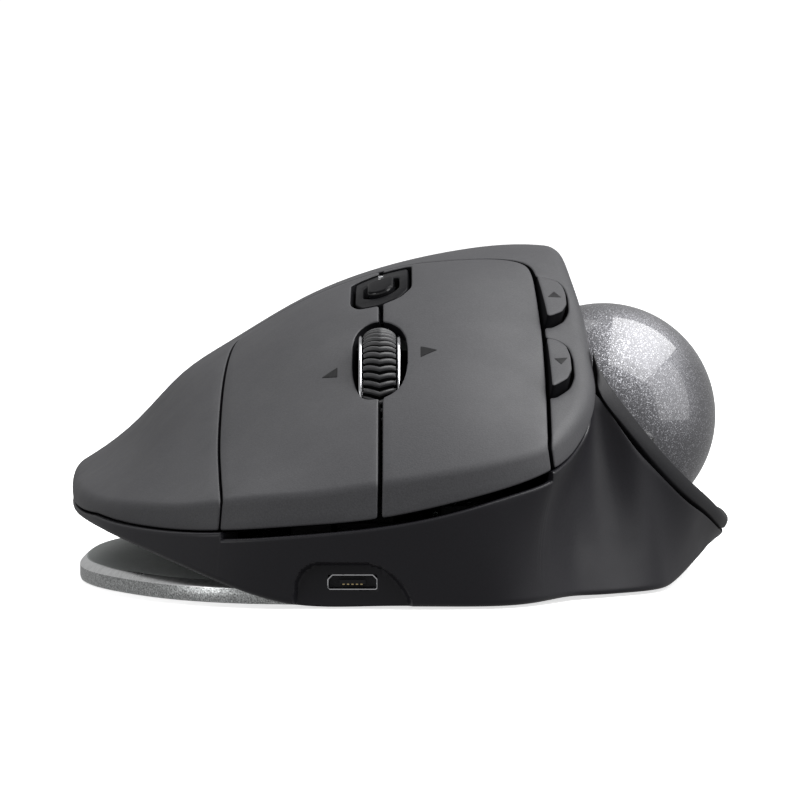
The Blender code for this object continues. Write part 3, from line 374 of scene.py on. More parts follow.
def grown(outline, by):
    """A closed outline moved outwards all round, with mitred corners, and turned anticlockwise."""
    ring = np.array(outline, float)
    if np.sum(ring[:, 0] * np.roll(ring[:, 1], -1) - np.roll(ring[:, 0], -1) * ring[:, 1]) < 0:
        ring = ring[::-1]
    mitre = np.zeros_like(ring)
    for run in (ring - np.roll(ring, 1, axis=0), np.roll(ring, -1, axis=0) - ring):
        mitre += right_of(run)
    return ring + by * mitre / (np.sum(mitre**2, axis=1, keepdims=True) / 2)


def enclosed(points, loops):
    """Which points lie inside closed outlines, by crossings."""
    inside = np.zeros(len(points), bool)
    x, y = points[:, 0], points[:, 1]
    for loop in loops:
        for a, b in zip(loop, np.roll(loop, -1, axis=0)):
            spans = (a[1] > y) != (b[1] > y)
            if spans.any():
                inside ^= spans & (x < a[0] + (b[0] - a[0]) * (y - a[1]) / (b[1] - a[1]))
    return inside


TOP_ROWS = Spline(GRID_Y, np.eye(len(GRID_Y)))
TOP_COLUMNS = Spline(GRID_X, np.eye(len(GRID_X)))


def top_height(plan):
    return np.sum(TOP_ROWS(plan[:, 1]) @ np.array(HEIGHTS) * TOP_COLUMNS(plan[:, 0]), axis=1)


class Top:
    """The top surface, unrolled: inside its edge a point is a plan point.

    Beyond it, the distance from the edge runs round the bend and down the lip.
    """

    SAMPLES = 1500

    def __init__(self):
        ring = Loop(TOP_EDGE).even(self.SAMPLES)
        self.xy, self.out = ring[:, :2], outward(ring)
        self.height = top_height(self.xy)
        slope_x = (top_height(self.xy + (PROBE, 0)) - top_height(self.xy - (PROBE, 0))) / (2 * PROBE)
        slope_y = (top_height(self.xy + (0, PROBE)) - top_height(self.xy - (0, PROBE))) / (2 * PROBE)
        self.first = np.arctan(-(slope_x * self.out[:, 0] + slope_y * self.out[:, 1]))
        self.last = np.radians(ring[:, 4])
        self.bend = ring[:, 3]
        self.arc = self.bend * (self.last - self.first)
        foot = self.height + self.bend * (np.cos(self.last) - np.cos(self.first))
        self.reach = self.arc + np.maximum(foot - ring[:, 2], 0.5) / np.sin(self.last)

    def at(self, s, values):
        """Values of the edge at fractional places along it."""
        low = np.floor(s).astype(int)
        share = s - low
        if values.ndim > 1:
            share = share[:, None]
        return values[low % self.SAMPLES] * (1 - share) + values[(low + 1) % self.SAMPLES] * share

    def beyond(self, s, distance):
        """Unrolled points at places along the edge, this far out from it."""
        return self.at(s, self.xy) + distance[:, None] * self.at(s, self.out)

    def locate(self, plan):
        """The place along the edge and the distance beyond it, for plan points."""
        near = np.empty(len(plan), int)
        for block in np.array_split(np.arange(len(plan)), len(plan) // 1500 + 1):
            away = plan[block][:, None] - self.xy[None]
            near[block] = np.argmin(np.sum(away**2, axis=2), axis=1)

        def ahead(index):
            index = index % self.SAMPLES
            away = plan - self.xy[index]
            return away[:, 1] * self.out[index, 0] - away[:, 0] * self.out[index, 1]

        here = ahead(near)
        step = np.where(here > 0, 1, -1)
        beside = ahead(near + step)
        crossed = here * beside < 0
        s = near + step * np.where(crossed, here / np.where(crossed, here - beside, 1), 0)
        return s, np.sum((plan - self.at(s, self.xy)) * self.at(s, self.out), axis=1)

    def place(self, plan):
        s, over = self.locate(plan)
        first, last, bend, arc = (self.at(s, v) for v in (self.first, self.last, self.bend, self.arc))
        turn = first + np.clip(over, 0, arc) / bend
        extra = np.clip(over - arc, 0, None)
        side = bend * (np.sin(turn) - np.sin(first)) + extra * np.cos(last)
        rise = bend * (np.cos(turn) - np.cos(first)) - extra * np.sin(last)
        base = self.beyond(s, side)
        rolled = np.column_stack([base, self.at(s, self.height) + rise])
        return np.where((over > 0)[:, None], rolled, np.column_stack([plan, top_height(plan)]))

    def normal(self, plan):
        step = 0.03
        across = self.place(plan + (step, 0)) - self.place(plan - (step, 0))
        along = self.place(plan + (0, step)) - self.place(plan - (0, step))
        return unit(np.cross(across, along))

    def unroll(self, line):
        """A plan line led down the lip wherever it runs out over the edge.

        Its place along the edge at each end comes with it.
        """
        s, over = self.locate(line)
        first, last, bend = (self.at(s, v) for v in (self.first, self.last, self.bend))
        kept = over < bend * (np.sin(last) - np.sin(first))
        bent = bend * (np.arcsin(np.clip(np.sin(first) + over / bend, -1, 1)) - first)
        line = np.where((over > 0)[:, None], self.beyond(s, np.clip(bent, 0, None)), line)[kept]
        s, ends = s[kept], []
        for end in (0, -1):
            place = s[end : end + 1] if end == 0 else s[end:]
            start, reach = self.at(place, self.arc)[0], self.at(place, self.reach)[0]
            down = np.linspace(start, reach, 8)[1:]
            ends.append(self.beyond(place, down))
        return ends[0][::-1], line, ends[1], s[0], s[-1]

    def lip(self, start, end):
        """The lip's lower edge from one place along the edge to another, going anticlockwise."""
        if end < start:
            end += self.SAMPLES
        s = np.linspace(start, end, max(3, int((end - start) / 2)))[1:-1]
        return self.beyond(s, self.at(s, self.reach))

    def cover_points(self, spacing):
        """Points spread over the whole unrolled top, closer together across the bend."""
        low, high = self.xy.min(axis=0), self.xy.max(axis=0)
        axes = (np.arange(a, b, spacing) for a, b in zip(low, high))
        grid = np.stack(np.meshgrid(*axes), axis=-1).reshape(-1, 2)
        points = [grid[self.locate(grid)[1] < -1.3 * spacing]]
        perimeter = np.linalg.norm(np.roll(self.xy, -1, axis=0) - self.xy, axis=1).sum()
        s = np.arange(0, self.SAMPLES, self.SAMPLES / (perimeter / min(spacing, LIP_STEP)))
        arc, reach = self.at(s, self.arc), self.at(s, self.reach)
        for share in (-0.3, 0, 0.14, 0.28, 0.42, 0.56, 0.7, 0.85, 1.0):
            points.append(self.beyond(s, share * arc))
        for k in range(1, 9):
            row = arc + k * LIP_STEP
            kept = row < reach
            points.append(self.beyond(s[kept], row[kept]))
        return np.concatenate(points)


TOP = Top()


# Meshes


def linked(name, data):
    """A new object in the scene."""
    made = bpy.data.objects.new(name, data)
    bpy.context.scene.collection.objects.link(made)
    return made


def new_piece(name, mesh, body, slot, *materials, replaces=(), angle=40):
    """A finished piece on its body."""
    made = linked(name, mesh)
    for surface in materials:
        mesh.materials.append(surface)
    mesh.shade_smooth()
    mesh.set_sharp_from_angle(angle=math.radians(angle))
    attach(made, body)
    if replaces:
        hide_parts(*replaces)


def mesh_from(name, points, faces, kinds=None):
    mesh = bpy.data.meshes.new(name)
    mesh.from_pydata([tuple(float(c) * MM for c in p) for p in points], [], faces)
    if kinds is not None:
        mesh.polygons.foreach_set("material_index", kinds)
    mesh.update()
    return mesh


def facing_out(mesh):
    shape = bmesh.new()
    shape.from_mesh(mesh)
    bmesh.ops.recalc_face_normals(shape, faces=shape.faces)
    shape.to_mesh(mesh)
    shape.free()
    return mesh


def band(a, b, count):
    """The faces between two rings whose points start at a and at b."""
    return [(a + i, a + (i + 1) % count, b + (i + 1) % count, b + i) for i in range(count)]


def loft(name, rings, closed=False, kinds=None):
    """A skin over rings of equal length, its ends capped unless it is closed.

    kinds gives the material of each band between two rings.
    """
    rings = [np.asarray(ring, float) for ring in rings]
    count, last = len(rings[0]), len(rings)
    faces, marks = [], []
    for k in range(last if closed else last - 1):
        faces += band(k * count, (k + 1) % last * count, count)
        marks += [kinds[k] if kinds else 0] * count
    points = np.concatenate(rings)
    if not closed:
        for end, ring in ((0, rings[0]), ((last - 1) * count, rings[-1])):
            points = np.concatenate([points, ring.mean(axis=0)[None]])
            for i in range(count):
                faces.append((end + i, end + (i + 1) % count, len(points) - 1))
                marks.append(kinds[-1 if end else 0] if kinds else 0)
    return facing_out(mesh_from(name, points, faces, marks))


def panel_mesh(name, loops, lift=0.0, depth=WALL, roll=0.3, spacing=1.7):
    """A solid panel of the top inside closed outlines, the first anticlockwise and any holes clockwise.

    Its edges are rolled over, and its walls and underside take the second material.
    """
    raised = lift if callable(lift) else lambda plan: np.full(len(plan), float(lift))
    rings = []
    for loop in loops:
        ahead = unit(np.roll(loop, -1, axis=0) - np.roll(loop, 1, axis=0))
        side = np.column_stack([-ahead[:, 1], ahead[:, 0]])
        moved = TOP.place(loop + PROBE * side) - TOP.place(loop)
        stretch = np.linalg.norm(moved, axis=1, keepdims=True) / PROBE
        rings.append([loop + side * roll * (1 - math.cos(a)) / stretch for a in ROLL])
    edges, start = [], 0
    for ring in rings:
        count = len(ring[0])
        edges += [(start + i, start + (i + 1) % count) for i in range(count)]
        start += count
    border = np.concatenate([ring[0] for ring in rings])
    spread = TOP.cover_points(spacing)
    near = (spread > border.min(axis=0)).all(axis=1) & (spread < border.max(axis=0)).all(axis=1)
    spread = spread[near]
    spread = spread[enclosed(spread, [ring[0] for ring in rings])]
    clear = np.array([np.min(np.sum((border - p) ** 2, axis=1)) > (0.3 * spacing) ** 2 for p in spread], bool)
    flat = np.concatenate([border, spread[clear]]) if len(spread) else border
    found, _, triangles, origins, _, _ = delaunay_2d_cdt([Vector(p) for p in flat], edges, [], 0, 1e-5)
    flat = np.array([tuple(p) for p in found])
    where = {old: new for new, olds in enumerate(origins) for old in olds}
    triangles = np.array([tuple(t) for t in triangles])
    inside = enclosed(flat[triangles].mean(axis=1), [ring[0] for ring in rings])
    triangles = triangles[inside]
    corner = flat[triangles]
    area = np.cross(corner[:, 1] - corner[:, 0], corner[:, 2] - corner[:, 0])
    triangles = np.where((area < 0)[:, None], triangles[:, ::-1], triangles)

    base, up = TOP.place(flat), TOP.normal(flat)
    high = raised(flat)[:, None]
    points = [base + up * high, base + up * (high - depth)]
    faces = [tuple(t) for t in triangles] + [tuple(t + len(flat)) for t in triangles[:, ::-1]]
    kinds = [0] * len(triangles) + [1] * len(triangles)
    total, start = 2 * len(flat), 0
    for ring in rings:
        count = len(ring[0])
        rows = [[where[start + i] for i in range(count)]]
        drops = [(plan, roll * (1 - math.sin(a))) for plan, a in zip(ring[1:], ROLL[1:])]
        drops.append((ring[-1], depth))
        for plan, drop in drops:
            points.append(TOP.place(plan) + TOP.normal(plan) * (raised(plan)[:, None] - drop))
            rows.append(range(total, total + count))
            total += count
        rows.append([where[start + i] + len(flat) for i in range(count)])
        for k, (row, below) in enumerate(zip(rows, rows[1:])):
            for i in range(count):
                j = (i + 1) % count
                faces.append((row[j], row[i], below[i], below[j]))
                # Rows past the roll are walls and take the second material, which for most panels is the
                # near-black of painted seam shade
                kinds.append(0 if k < len(ROLL) - 2 else 1)
        start += count
    return mesh_from(name, np.concatenate(points), faces, kinds)


# Materials


def node(tree, kind, values=(), **settings):
    made = tree.nodes.new("ShaderNode" + kind)
    for key, value in settings.items():
        setattr(made, key, value)
    for key, value in dict(values).items():
        made.inputs[key].default_value = value
    return made


def noise(tree, place, scale):
    made = node(tree, "TexNoise", {"Scale": scale, "Detail": 3.0, "Roughness": 0.6})
    tree.links.new(place, made.inputs["Vector"])
    return made.outputs["Fac"]


def ranged(tree, value, low, high, start=0.3, end=0.7):
    made = node(tree, "MapRange", {"From Min": start, "From Max": end, "To Min": low, "To Max": high})
    tree.links.new(value, made.inputs["Value"])
    return made.outputs["Result"]


def blended(tree, share, low, high):
    made = node(tree, "Mix", data_type="RGBA")
    made.inputs[6].default_value = (*low, 1)
    made.inputs[7].default_value = (*high, 1)
    tree.links.new(share, made.inputs[0])
    return made.outputs[2]


def finish(name, colour, roughness, metallic=0.0, specular=0.5, coat=0.0, coat_roughness=0.05, grain=4000.0,
           mottle=0.12, depth=0.02, spread=0.06):
    """A plastic, rubber or metal: grained, a little uneven in colour and in gloss."""
    made = bpy.data.materials.new(name)
    made.use_nodes = True
    tree = made.node_tree
    shader = tree.nodes["Principled BSDF"]
    place = node(tree, "TexCoord").outputs["Object"]
    fine = noise(tree, place, grain)
    broad = noise(tree, place, BLOTCH)
    colour = np.array(colour)
    share = ranged(tree, fine, 0, 1)
    shade = blended(tree, share, tuple(colour * (1 - mottle)), tuple(colour * (1 + mottle)))
    tree.links.new(shade, shader.inputs["Base Color"])
    tree.links.new(ranged(tree, broad, roughness - spread, roughness + spread), shader.inputs["Roughness"])
    bump = node(tree, "Bump", {"Strength": 0.6, "Distance": depth * MM})
    tree.links.new(fine, bump.inputs["Height"])
    tree.links.new(bump.outputs["Normal"], shader.inputs["Normal"])
    settings = {"Metallic": metallic, "Specular IOR Level": specular, "Coat Weight": coat,
                "Coat Roughness": coat_roughness}
    for socket, value in settings.items():
        shader.inputs[socket].default_value = value
    return made


def flaked(name, colour, bright):
    """A clear-coated lacquer over metal flakes, each tipped its own way."""
    made = finish(name, colour, 0.42, metallic=0.85, coat=0.7, coat_roughness=0.03, depth=0.0)
    tree = made.node_tree
    shader = tree.nodes["Principled BSDF"]
    place = node(tree, "TexCoord").outputs["Object"]
    cells = node(tree, "TexVoronoi", {"Scale": FLAKES})
    tree.links.new(place, cells.inputs["Vector"])
    tip = node(tree, "VectorMath", {1: (0.5, 0.5, 0.5)}, operation="SUBTRACT")
    tree.links.new(cells.outputs["Color"], tip.inputs[0])
    tipped = node(tree, "VectorMath", {1: (FLAKE_TIP,) * 3}, operation="MULTIPLY_ADD")
    tree.links.new(tip.outputs[0], tipped.inputs[0])
    tree.links.new(node(tree, "NewGeometry").outputs["Normal"], tipped.inputs[2])
    straight = node(tree, "VectorMath", operation="NORMALIZE")
    tree.links.new(tipped.outputs[0], straight.inputs[0])
    tree.links.new(straight.outputs[0], shader.inputs["Normal"])
    apart = node(tree, "SeparateColor")
    tree.links.new(cells.outputs["Color"], apart.inputs["Color"])
    shade = blended(tree, ranged(tree, apart.outputs[0], 0, 1, 0.82, 1.0), colour, bright)
    tree.links.new(shade, shader.inputs["Base Color"])
    return made


SOFT = finish("soft_touch_grain", (0.05, 0.05, 0.054), 0.56, specular=0.35, depth=0.035, mottle=0.16)
# Near-black for the walls and undersides of the top's panels: painted shade, so that the seams between the
# panels read dark
WALL_PAINTED_SHADE = finish("wall_painted_shade", (0.004, 0.004, 0.005), 0.75, specular=0.06)
SATIN = finish("satin_black_grain", (0.011, 0.0105, 0.0135), 0.42, specular=0.3, depth=0.012)
RIM_SATIN = finish("rim_satin", (0.017, 0.017, 0.019), 0.5, specular=0.2, depth=0.01)
GLOSS = finish("gloss_black_fine", (0.008, 0.008, 0.009), 0.12, specular=0.55, depth=0.004, spread=0.03)
LACQUER = flaked("ball_flakes", (0.14, 0.14, 0.15), (0.5, 0.5, 0.53))
STEEL = finish("brushed_steel", (0.5, 0.53, 0.52), 0.45, metallic=0.4, grain=2400, mottle=0.12, depth=0.006)
BEVEL_STEEL = finish("polished_steel", (0.9, 0.91, 0.91), 0.3, metallic=1.0, grain=900, depth=0.003,
                     spread=0.04)
SIDE_STEEL = finish("speckled_steel", (0.42, 0.43, 0.43), 0.34, metallic=1.0, grain=4200, mottle=0.8,
                    depth=0.06)
CHROME = finish("chrome_bright", (0.78, 0.78, 0.8), 0.1, metallic=1.0, depth=0.002, mottle=0.03, spread=0.03)
RUBBER = finish("rubber_fine", (0.04, 0.04, 0.042), 0.42, specular=0.45, depth=0.015)
# Near-black for the floors of the tyre's grooves: painted shade in the recesses
GROOVE_PAINTED_SHADE = finish("rubber_groove_painted_shade", (0.003, 0.003, 0.003), 0.7, specular=0.1, depth=0.01)
CERAMIC = finish("ceramic_glaze", (0.8, 0.78, 0.74), 0.16, depth=0.003, mottle=0.03)
BOARD = finish("board_mask", (0.006, 0.014, 0.01), 0.5, grain=900, depth=0.02, mottle=0.3)
CELL = finish("cell_wrap", (0.3, 0.31, 0.33), 0.38, metallic=0.5, depth=0.02)
CLEAR = finish("clear_lens", (0.85, 0.86, 0.88), 0.12, coat=1.0, depth=0.002, mottle=0.03)
MARK = finish("printed_mark", (0.006, 0.006, 0.007), 0.5, specular=0.15, depth=0.004)
BEZEL_BLACK = finish("bezel_satin", (0.005, 0.005, 0.006), 0.36, specular=0.05, depth=0.01)
GOLD = finish("contact_gold", (0.75, 0.6, 0.32), 0.25, metallic=1.0, depth=0.004)

FINISHES = {
    "soft_touch": SOFT,
    "satin_black": SATIN,
    "gloss_black": GLOSS,
    "ball_lacquer": LACQUER,
    "steel": STEEL,
    "chrome": CHROME,
    "rubber": RUBBER,
    "ceramic": CERAMIC,
    "board": BOARD,
    "cell": CELL,
    "clear": CLEAR,
}
for part in frame["record"]["subparts"]:
    surfaces = frame["nodes"][part["node"]].data.materials
    surfaces.clear()
    surfaces.append(FINISHES[part["material_slot"]])


# The top


def closed_lines():
    """The seam line behind and beside the buttons as the buttons' and the cover's edges of it."""
    line = curved(THUMB_SEAM + BACK_SEAM + PINKY_SEAM)
    half = np.interp(line[:, 0], (-20, 16, 20), (0.17, 0.16, 0.27))[:, None]
    return moved_aside(line, -half), moved_aside(line, half)


def detour(line, outline, side):
    """A line led round an outline, on its right for 1 or its left for -1."""
    ring = resampled(outline, 0.3, closed=True)
    within = np.flatnonzero(enclosed(line, [ring]))
    before, after = within[0] - 1, within[-1] + 1
    start, end = (int(np.argmin(np.linalg.norm(ring - line[i], axis=1))) for i in (before, after))
    turned = np.roll(ring, -start, axis=0)
    span = (end - start) % len(ring)
    ways = (turned[: span + 1], np.concatenate([turned[:1], turned[span:][::-1]]))
    run = line[after] - line[before]
    chosen = max(ways, key=lambda way: side * np.mean((way - line[before]) @ (run[1], -run[0])))
    return np.concatenate([line[:before], chosen, line[after + 1 :]])


def key_outline(outer):
    """A side key's outline: its outer edge as given, its inner edge along the thumb seam."""
    seam = curved(THUMB_SEAM)
    front, rear = outer[-1][1] - 0.5, outer[0][1]
    ys = np.linspace(front, rear, 24)
    inner = np.column_stack([np.interp(ys, seam[:, 1], seam[:, 0]) + KEY_SEAM, ys])
    return softened(grown(np.concatenate([outer, inner]), 0.0), 0.45)


def make_top():
    button_side, cover_side = closed_lines()
    keys = {"forward": key_outline(FORWARD_KEY), "back": key_outline(BACK_KEY)}
    for outline in keys.values():
        cover_side = detour(cover_side, grown(outline, KEY_GAP), 1)
    start, line, end, first, last = TOP.unroll(cover_side)
    # The cover runs from the thumb seam round the palm to the pinky seam.
    loop = np.concatenate([TOP.lip(first, last), end[::-1], line[::-1], start[::-1]])
    mesh = panel_mesh("top_cover_skin", [softened(loop, PANEL_CORNER)])
    new_piece("top_cover_skin", mesh, "housing", "soft_touch", SOFT, WALL_PAINTED_SHADE, replaces=["top_cover"])

    start, line, end, first, last = TOP.unroll(button_side)
    split = int(np.argmin(np.abs(line[:, 0] - CENTRE_SEAM_X) + 99 * (line[:, 1] < -12)))
    slot, bezel_room = grown(softened(SLOT, 0.4), SLOT_GAP), grown(softened(BEZEL, 0.5), BEZEL_GAP)
    ahead = np.arange(line[split, 1] - OUTLINE_STEP, NOSE, -OUTLINE_STEP)
    for name, side in (("left", 1), ("right", -1)):
        middle = np.column_stack([np.full(len(ahead), CENTRE_SEAM_X + side * CENTRE_GAP / 2), ahead])
        # Running to the nose, the thumb side is on the left.
        middle = detour(detour(middle, bezel_room, -side), slot, -side)
        _, middle, down, _, here = TOP.unroll(middle)
        if side == 1:
            rear = line[: split + 1][line[: split + 1, 0] > CENTRE_SEAM_X + CENTRE_GAP / 2]
            loop = [TOP.lip(here, first), start, rear, middle, down]
        else:
            rear = line[split:][line[split:, 0] < CENTRE_SEAM_X - CENTRE_GAP / 2]
            loop = [TOP.lip(last, here), down[::-1], middle[::-1], rear, end]
        mesh = panel_mesh(f"{name}_button_skin", [softened(np.concatenate(loop), PANEL_CORNER)])
        new_piece(f"{name}_button_skin", mesh, f"{name}_button", "soft_touch", SOFT, WALL_PAINTED_SHADE,
                  replaces=[f"{name}_button"])

    for name, outline in keys.items():
        rear, front = outline[:, 1].max(), outline[:, 1].min()

        def raised(plan, rear=rear, front=front):
            return np.interp(plan[:, 1], (front, rear), KEY_LIFTS)

        mesh = panel_mesh(f"{name}_key_skin", [outline], raised, KEY_DEPTH, KEY_ROLL, 0.9)
        new_piece(f"{name}_key_skin", mesh, f"{name}_button", "soft_touch", SOFT, WALL_PAINTED_SHADE,
                  replaces=[f"{name}_button"])
        tip = 1 if name == "forward" else -1
        centre = ARROWS[name]
        arrow = np.array([(-0.95, 0.75 * -tip - 0.5), (0.95, 0.75 * -tip + 0.5), (0, 1.1 * tip)]) + centre
        mark(f"{name}_arrow", arrow, f"{name}_button", lambda plan, raised=raised: raised(plan) + 0.04)
    for name, corners in CLICK_MARKS.items():
        mark(f"{name}_click_mark_1", corners, f"{name}_button", 0.05)

    selector = softened(SELECTOR, 0.4)
    hole = grown(selector, SELECTOR_GAP)[::-1]
    mesh = panel_mesh("bezel_skin", [softened(BEZEL, 0.5), hole], lift=-0.3, spacing=0.9)
    new_piece("bezel_skin", mesh, "housing", "satin_black", BEZEL_BLACK, WALL_PAINTED_SHADE,
              replaces=["selector_bezel"])
    mesh = panel_mesh("selector_skin", [grown(selector, 0.0)], lift=0.35, depth=2.6, roll=0.5, spacing=0.7)
    new_piece("selector_skin", mesh, "selector_button", "gloss_black", BEZEL_BLACK, GLOSS,
              replaces=["selector_button"])


def mark(name, corners, body, lift):
    """A thin printed shape on the top surface."""
    outline = softened(grown(corners, 0.05), 0.1, step=0.12)
    mesh = panel_mesh(name, [outline], lift=lift, depth=0.05, roll=0.02, spacing=0.6)
    new_piece(name, mesh, body, "gloss_black", MARK, MARK)


# The lower body


def smoothstep(value, low, high):
    share = np.clip((value - low) / (high - low), 0, 1)
    return share * share * (3 - 2 * share)


def distance_inside(points, outline):
    """How far points lie inside a closed outline, negative outside it."""
    ring = resampled(outline, 0.15, closed=True)
    away = np.sqrt(np.min(np.sum((points[:, None] - ring[None]) ** 2, axis=2), axis=1))
    return np.where(enclosed(points, [ring]), away, -away)


def plate_room():
    """The base plate's outline when the body leans fully to the pinky side, and its height above an x."""
    edge = Loop(PLATE_EDGE).even(160)[:, :2]
    edge = edge + outward(edge) * PLATE_SIDE_ROOM
    turn, up = math.radians(TILT_DEG), PLATE_TOP + PLATE_TOP_ROOM - TILT_Z
    leaned_x = TILT_X + (edge[:, 0] - TILT_X) * math.cos(turn) + up * math.sin(turn)

    def height(x):
        return TILT_Z + up / math.cos(turn) - (x - TILT_X) * math.tan(turn)

    return np.column_stack([leaned_x, edge[:, 1]]), height


def make_lower_housing():
    table = Loop(HOUSING)
    coarse = table.even(RING_SAMPLES)
    front = coarse[:, 1] < FRONT_Y
    by_port = (coarse[:, 0] > PORT_SPAN[0]) & (coarse[:, 0] < PORT_SPAN[1]) & front
    pace = np.where(by_port, 1 / PORT_STEP, 1 / RING_STEP)
    for seam in SIDE_SEAMS:
        pace = np.where((np.abs(coarse[:, 0] - seam) < SEAM_REACH) & front, 1 / SEAM_STEP, pace)
    run = np.concatenate([[0], np.cumsum((pace + np.roll(pace, -1)) / 2 * table.length / RING_SAMPLES)])
    count = int(run[-1])
    places = np.arange(RING_SAMPLES + 1) * table.length / RING_SAMPLES
    at = np.interp(np.arange(count) * run[-1] / count, run, places)
    ring = table(at)
    side = outward(ring)
    top, foot, waist = ring[:, :3], ring[:, 3:6], ring[:, 6]
    # Beside the fixed cover the wall comes up to the lip. Under the buttons it leaves their travel free.
    beside = TOP.locate(top[:, :2])[0]
    lip = TOP.place(TOP.beyond(beside, TOP.at(beside, TOP.reach)))
    fixed = (top[:, 0] < COVER_SIDES[0]) | (top[:, 1] > COVER_FRONT_Y) | (top[:, 0] > COVER_SIDES[1])
    top[:, 2] = np.where(fixed & (top[:, 0] < RIM_X), np.maximum(top[:, 2], lip[:, 2] - LIP_GAP), top[:, 2])
    height = top[:, 2] - foot[:, 2]

    def wall(share, inset=0.0):
        made = top * (1 - share)[:, None] + foot * share[:, None]
        made[:, :2] -= side * (waist * 4 * share * (1 - share) + inset)[:, None]
        return made

    rows = []
    flange = np.interp(top[:, 2], (13, 15), FLANGE_WIDTHS)
    for inset, drop in ((flange, 0.9), (flange, 0.15), (flange * 0.5, 0.05), (np.full(count, 0.9), 0.0)):
        row = wall(np.zeros(count), inset)
        row[:, 2] -= drop
        rows.append(row)
    for angle in np.radians((0, 30, 60, 90)):
        share = np.minimum(EDGE_ROUND * (1 - math.cos(angle)) / height, 0.4)
        rows.append(wall(share, EDGE_ROUND * (1 - math.sin(angle))))
    fine = np.clip(FINE_HEIGHT - foot[:, 2], 0.6, None) / height
    start = np.minimum(EDGE_ROUND / height, 0.3)
    bend = 1 - np.minimum(FOOT_ROUND / height, 0.45)
    fine_top = np.clip(1 - fine, start + 0.1, bend - 0.05)
    for t in np.linspace(0, 1, 12)[1:]:
        rows.append(wall(start + (fine_top - start) * t))
    for t in np.linspace(0, 1, 27)[1:]:
        rows.append(wall(fine_top + (bend - fine_top) * t))
    for angle in np.radians((22, 45, 68, 90)):
        rows.append(wall(bend + (1 - bend) * math.sin(angle), FOOT_ROUND * (1 - math.cos(angle))))
    outer_rows = len(rows)
    for share, inset in ((1.0, 1.9), (0.85, 2.2), (0.5, 2.2), (0.15, 2.4)):
        row = wall(np.full(count, share), inset)
        row[:, 2] = np.minimum(row[:, 2], top[:, 2] - 1.0)
        rows.append(row)

    mouth = np.array(PORT_MOUTH)
    corners = np.array(((-1, -1), (1, -1), (1, 1), (-1, 1)))
    pocket = grown(USB_CENTRE[[0, 2]] + corners * POCKET_HALF, 0.0)
    for k, row in enumerate(rows):
        near = (np.abs(row[:, 0] - USB_CENTRE[0]) < PORT_REACH) & (row[:, 1] < PORT_REAR_Y)
        near &= row[:, 2] < PORT_TOP_Z
        if not near.any():
            continue
        flat = row[near][:, [0, 2]]
        share = smoothstep(distance_inside(flat, mouth), -0.15, 0.55)
        back = PORT_FLOOR_Y if k < outer_rows else PORT_WALL_Y
        y = row[near, 1]
        y = y + share * np.maximum(back - y, 0)
        if k < outer_rows:
            deep = smoothstep(distance_inside(flat, pocket), -0.05, 0.25)
            y = y + deep * POCKET_DEPTH
        row[near, 1] = y
    # Where the plate comes up inside the leaning wall, the wall is raised towards its room.
    leaned, height_over = plate_room()
    for row in rows:
        within = enclosed(row[:, :2], [leaned]) & (row[:, 0] < TILT_X)
        floor = np.minimum(height_over(row[:, 0]), top[:, 2] - LEAST_WALL)
        row[:, 2] = np.where(within, np.maximum(row[:, 2], floor), row[:, 2])
    mesh = loft("lower_housing_skin", rows, closed=True)
    cut = boolean_result(mesh, round_ball("ball_room", CUP_ROOM, 96, 48))
    new_piece("lower_housing_skin", cut, "housing", "satin_black", SATIN, replaces=["lower_housing"],
              angle=45)


def posed_mesh(name, shape, centre, direction):
    """A bmesh's mesh, its Z axis led to a direction and its origin to a centre."""
    mesh = bpy.data.meshes.new(name)
    turn = Vector(direction).to_track_quat("Z", "Y")
    for vertex in shape.verts:
        vertex.co = turn @ vertex.co + Vector(centre) * MM
    shape.to_mesh(mesh)
    shape.free()
    return mesh


def round_ball(name, radius, sides, levels, direction=(0, 0, 1)):
    """A mesh round the ball's centre, its poles along a direction."""
    shape = bmesh.new()
    bmesh.ops.create_uvsphere(shape, u_segments=sides, v_segments=levels, radius=radius * MM)
    return posed_mesh(name, shape, BALL_CENTRE, direction)


def rod(name, radius, length, centre, direction):
    shape = bmesh.new()
    bmesh.ops.create_cone(shape, cap_ends=True, segments=48, radius1=radius * MM, radius2=radius * MM,
                          depth=length * MM)
    return posed_mesh(name, shape, centre, direction)


def boolean_result(mesh, *cutters, solver="EXACT"):
    """A mesh with others taken out of it."""
    made = linked("target", mesh)
    helpers = [linked("cutter", cutter) for cutter in cutters]
    for helper in helpers:
        cut = made.modifiers.new("cut", "BOOLEAN")
        cut.object, cut.operation, cut.solver = helper, "DIFFERENCE", solver
    graph = bpy.context.evaluated_depsgraph_get()
    result = bpy.data.meshes.new_from_object(made.evaluated_get(graph))
    for helper in helpers + [made]:
        bpy.data.objects.remove(helper)
    # A plain copy of the faces, without the layers that the cut leaves on them.
    plain = bpy.data.meshes.new(mesh.name + "_cut")
    faces = [tuple(p.vertices) for p in result.polygons]
    plain.from_pydata([tuple(v.co) for v in result.vertices], [], faces)
    plain.validate()
    plain.update()
    bpy.data.meshes.remove(result)
    return plain


def along(points, count):
    points = np.array(points, float)
    return Spline(lengths(points), points)(np.linspace(0, lengths(points)[-1], count))


